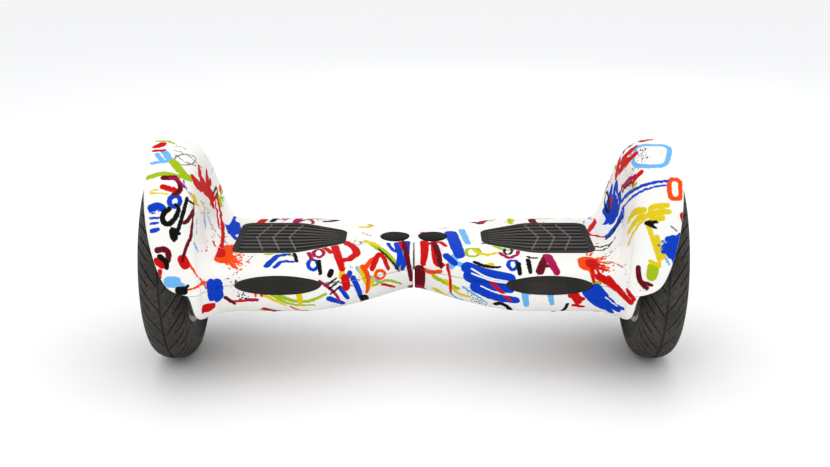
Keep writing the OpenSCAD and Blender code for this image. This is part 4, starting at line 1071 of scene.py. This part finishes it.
def bead_line(f):
    """How far a dome is sunk at share f: a bell-shaped groove near the edge, and the edge eased back."""
    return 0.35 * np.exp(-((f - 0.92) / 0.016) ** 2) + 0.5 * np.clip((f - 0.975) / 0.025, 0, 1) ** 2


def window_skin(x, y, f):
    """Height of a window: 1 mm proud of the shell in the middle, falling with the square of f."""
    return deck_z(x, y) + 1.0 - 0.6 * f * f


def light_skin(x, z, f):
    """Depth of an oval light: 1.8 mm proud of the shell in the middle, falling with the square of f."""
    return face_y(x, z) + 0.2 + 1.6 * (1 - f * f)


def dome(name, side, centre, half, height, back, facing):
    """An elliptical patch: its skin at height(x, across, f), its back flat at a given height."""
    a = np.linspace(0, 2 * math.pi, 129)[:-1, None]
    f = dome_rings[None, :]
    x, across = centre + half[0] * f * np.cos(a), half[1] * f * np.sin(a)
    h = height(x, across, f) - bead_line(f)
    x, across = (np.hstack([p, p[:, -1:], p[:, :1]]) for p in (x, across))
    h = np.hstack([h, np.full((len(a), 2), back)])
    y, z = (across, h) if facing == 0 else (facing * h, across)
    return lofted(name, np.stack([side * x, y, tyre_r + z], axis=2), ring=True)


window_finish = grained(
    "window_gloss", (0.004, 0.004, 0.005), (0.011, 0.011, 0.012), 60.0, (0.22, 0.32), 0.00002,
    specular_ior_level=0.0, coat_weight=0.15, coat_roughness=0.08)
light_finish = grained(
    "light_satin", (0.012, 0.011, 0.010), (0.040, 0.037, 0.034), 700.0, (0.34, 0.46), 0.00005,
    specular_ior_level=0.3)
for side_name, side in SIDES.items():
    name = side_name + "_lamp_window"
    mesh = dome(name, side, window_x, window_half, window_skin, window_back, 0)
    piece(name, mesh, side_name + "_half", side_name + "_window", window_finish)
    for part, way in (("front", -1), ("rear", 1)):
        name = f"{side_name}_{part}_oval"
        mesh = dome(name, side, light_x, light_half, light_skin, light_back, way)
        piece(name, mesh, side_name + "_half", f"{side_name}_{part}_light", light_finish)

# ---- Finishes of the pieces inside and of the fittings ------------------------------------------
# Castings, turned steel, wound copper, circuit boards, the shrink-wrapped battery and the black
# plastic and rubber fittings keep their shapes and get the surface that each is made with.
lathe, rubbed, layered = (60, 1, 1), (1, 8, 1), (25, 1, 1)
wound, wrapped, woven = (1, 1, 40), (1, 4, 1), (4, 1, 1)
finishes = {
    "shell_white": shell_finish, "pad_rubber": pad_finish, "tyre_rubber": tyre_finish,
    "rim_metal": cover_finish, "window_black": window_finish,
    "cast_metal": grained(
        "cast_metal", (0.34, 0.345, 0.35), (0.62, 0.63, 0.64), 600.0, (0.42, 0.6), 0.00014, metallic=0.9),
    "steel": grained(
        "turned_steel", (0.30, 0.30, 0.31), (0.60, 0.60, 0.61), 25.0, (0.24, 0.36), 0.00002, lathe,
        metallic=1.0),
    "screw_steel": grained(
        "black_steel", (0.07, 0.07, 0.075), (0.22, 0.22, 0.23), 400.0, (0.3, 0.45), 0.00003, rubbed,
        metallic=0.9),
    "motor_iron": grained(
        "layered_iron", (0.06, 0.06, 0.064), (0.20, 0.20, 0.21), 40.0, (0.4, 0.55), 0.00012, layered,
        metallic=0.8),
    "copper_wire": grained(
        "copper_wire", (0.33, 0.10, 0.03), (0.80, 0.36, 0.15), 22.0, (0.25, 0.4), 0.0002, wound,
        metallic=1.0),
    "bush_plastic": grained(
        "bush_plastic", (0.56, 0.50, 0.34), (0.80, 0.74, 0.56), 500.0, (0.4, 0.55), 0.00004),
    "fitting_black": grained(
        "fitting_black", (0.012, 0.012, 0.013), (0.045, 0.045, 0.048), 800.0, (0.38, 0.55), 0.00006),
    "cap_rubber": grained(
        "cap_rubber", (0.012, 0.012, 0.012), (0.042, 0.041, 0.040), 700.0, (0.55, 0.72), 0.0001),
    "battery_wrap": grained(
        "battery_wrap", (0.015, 0.06, 0.22), (0.05, 0.15, 0.42), 70.0, (0.18, 0.34), 0.0006, wrapped),
    "board_green": grained(
        "board_green", (0.008, 0.06, 0.028), (0.03, 0.17, 0.08), 260.0, (0.3, 0.5), 0.0001, woven),
}
for part in frame["record"]["subparts"]:
    shown = frame["nodes"][part["node"]]
    for place in shown.material_slots:
        place.material = finishes[part["material_slot"]]
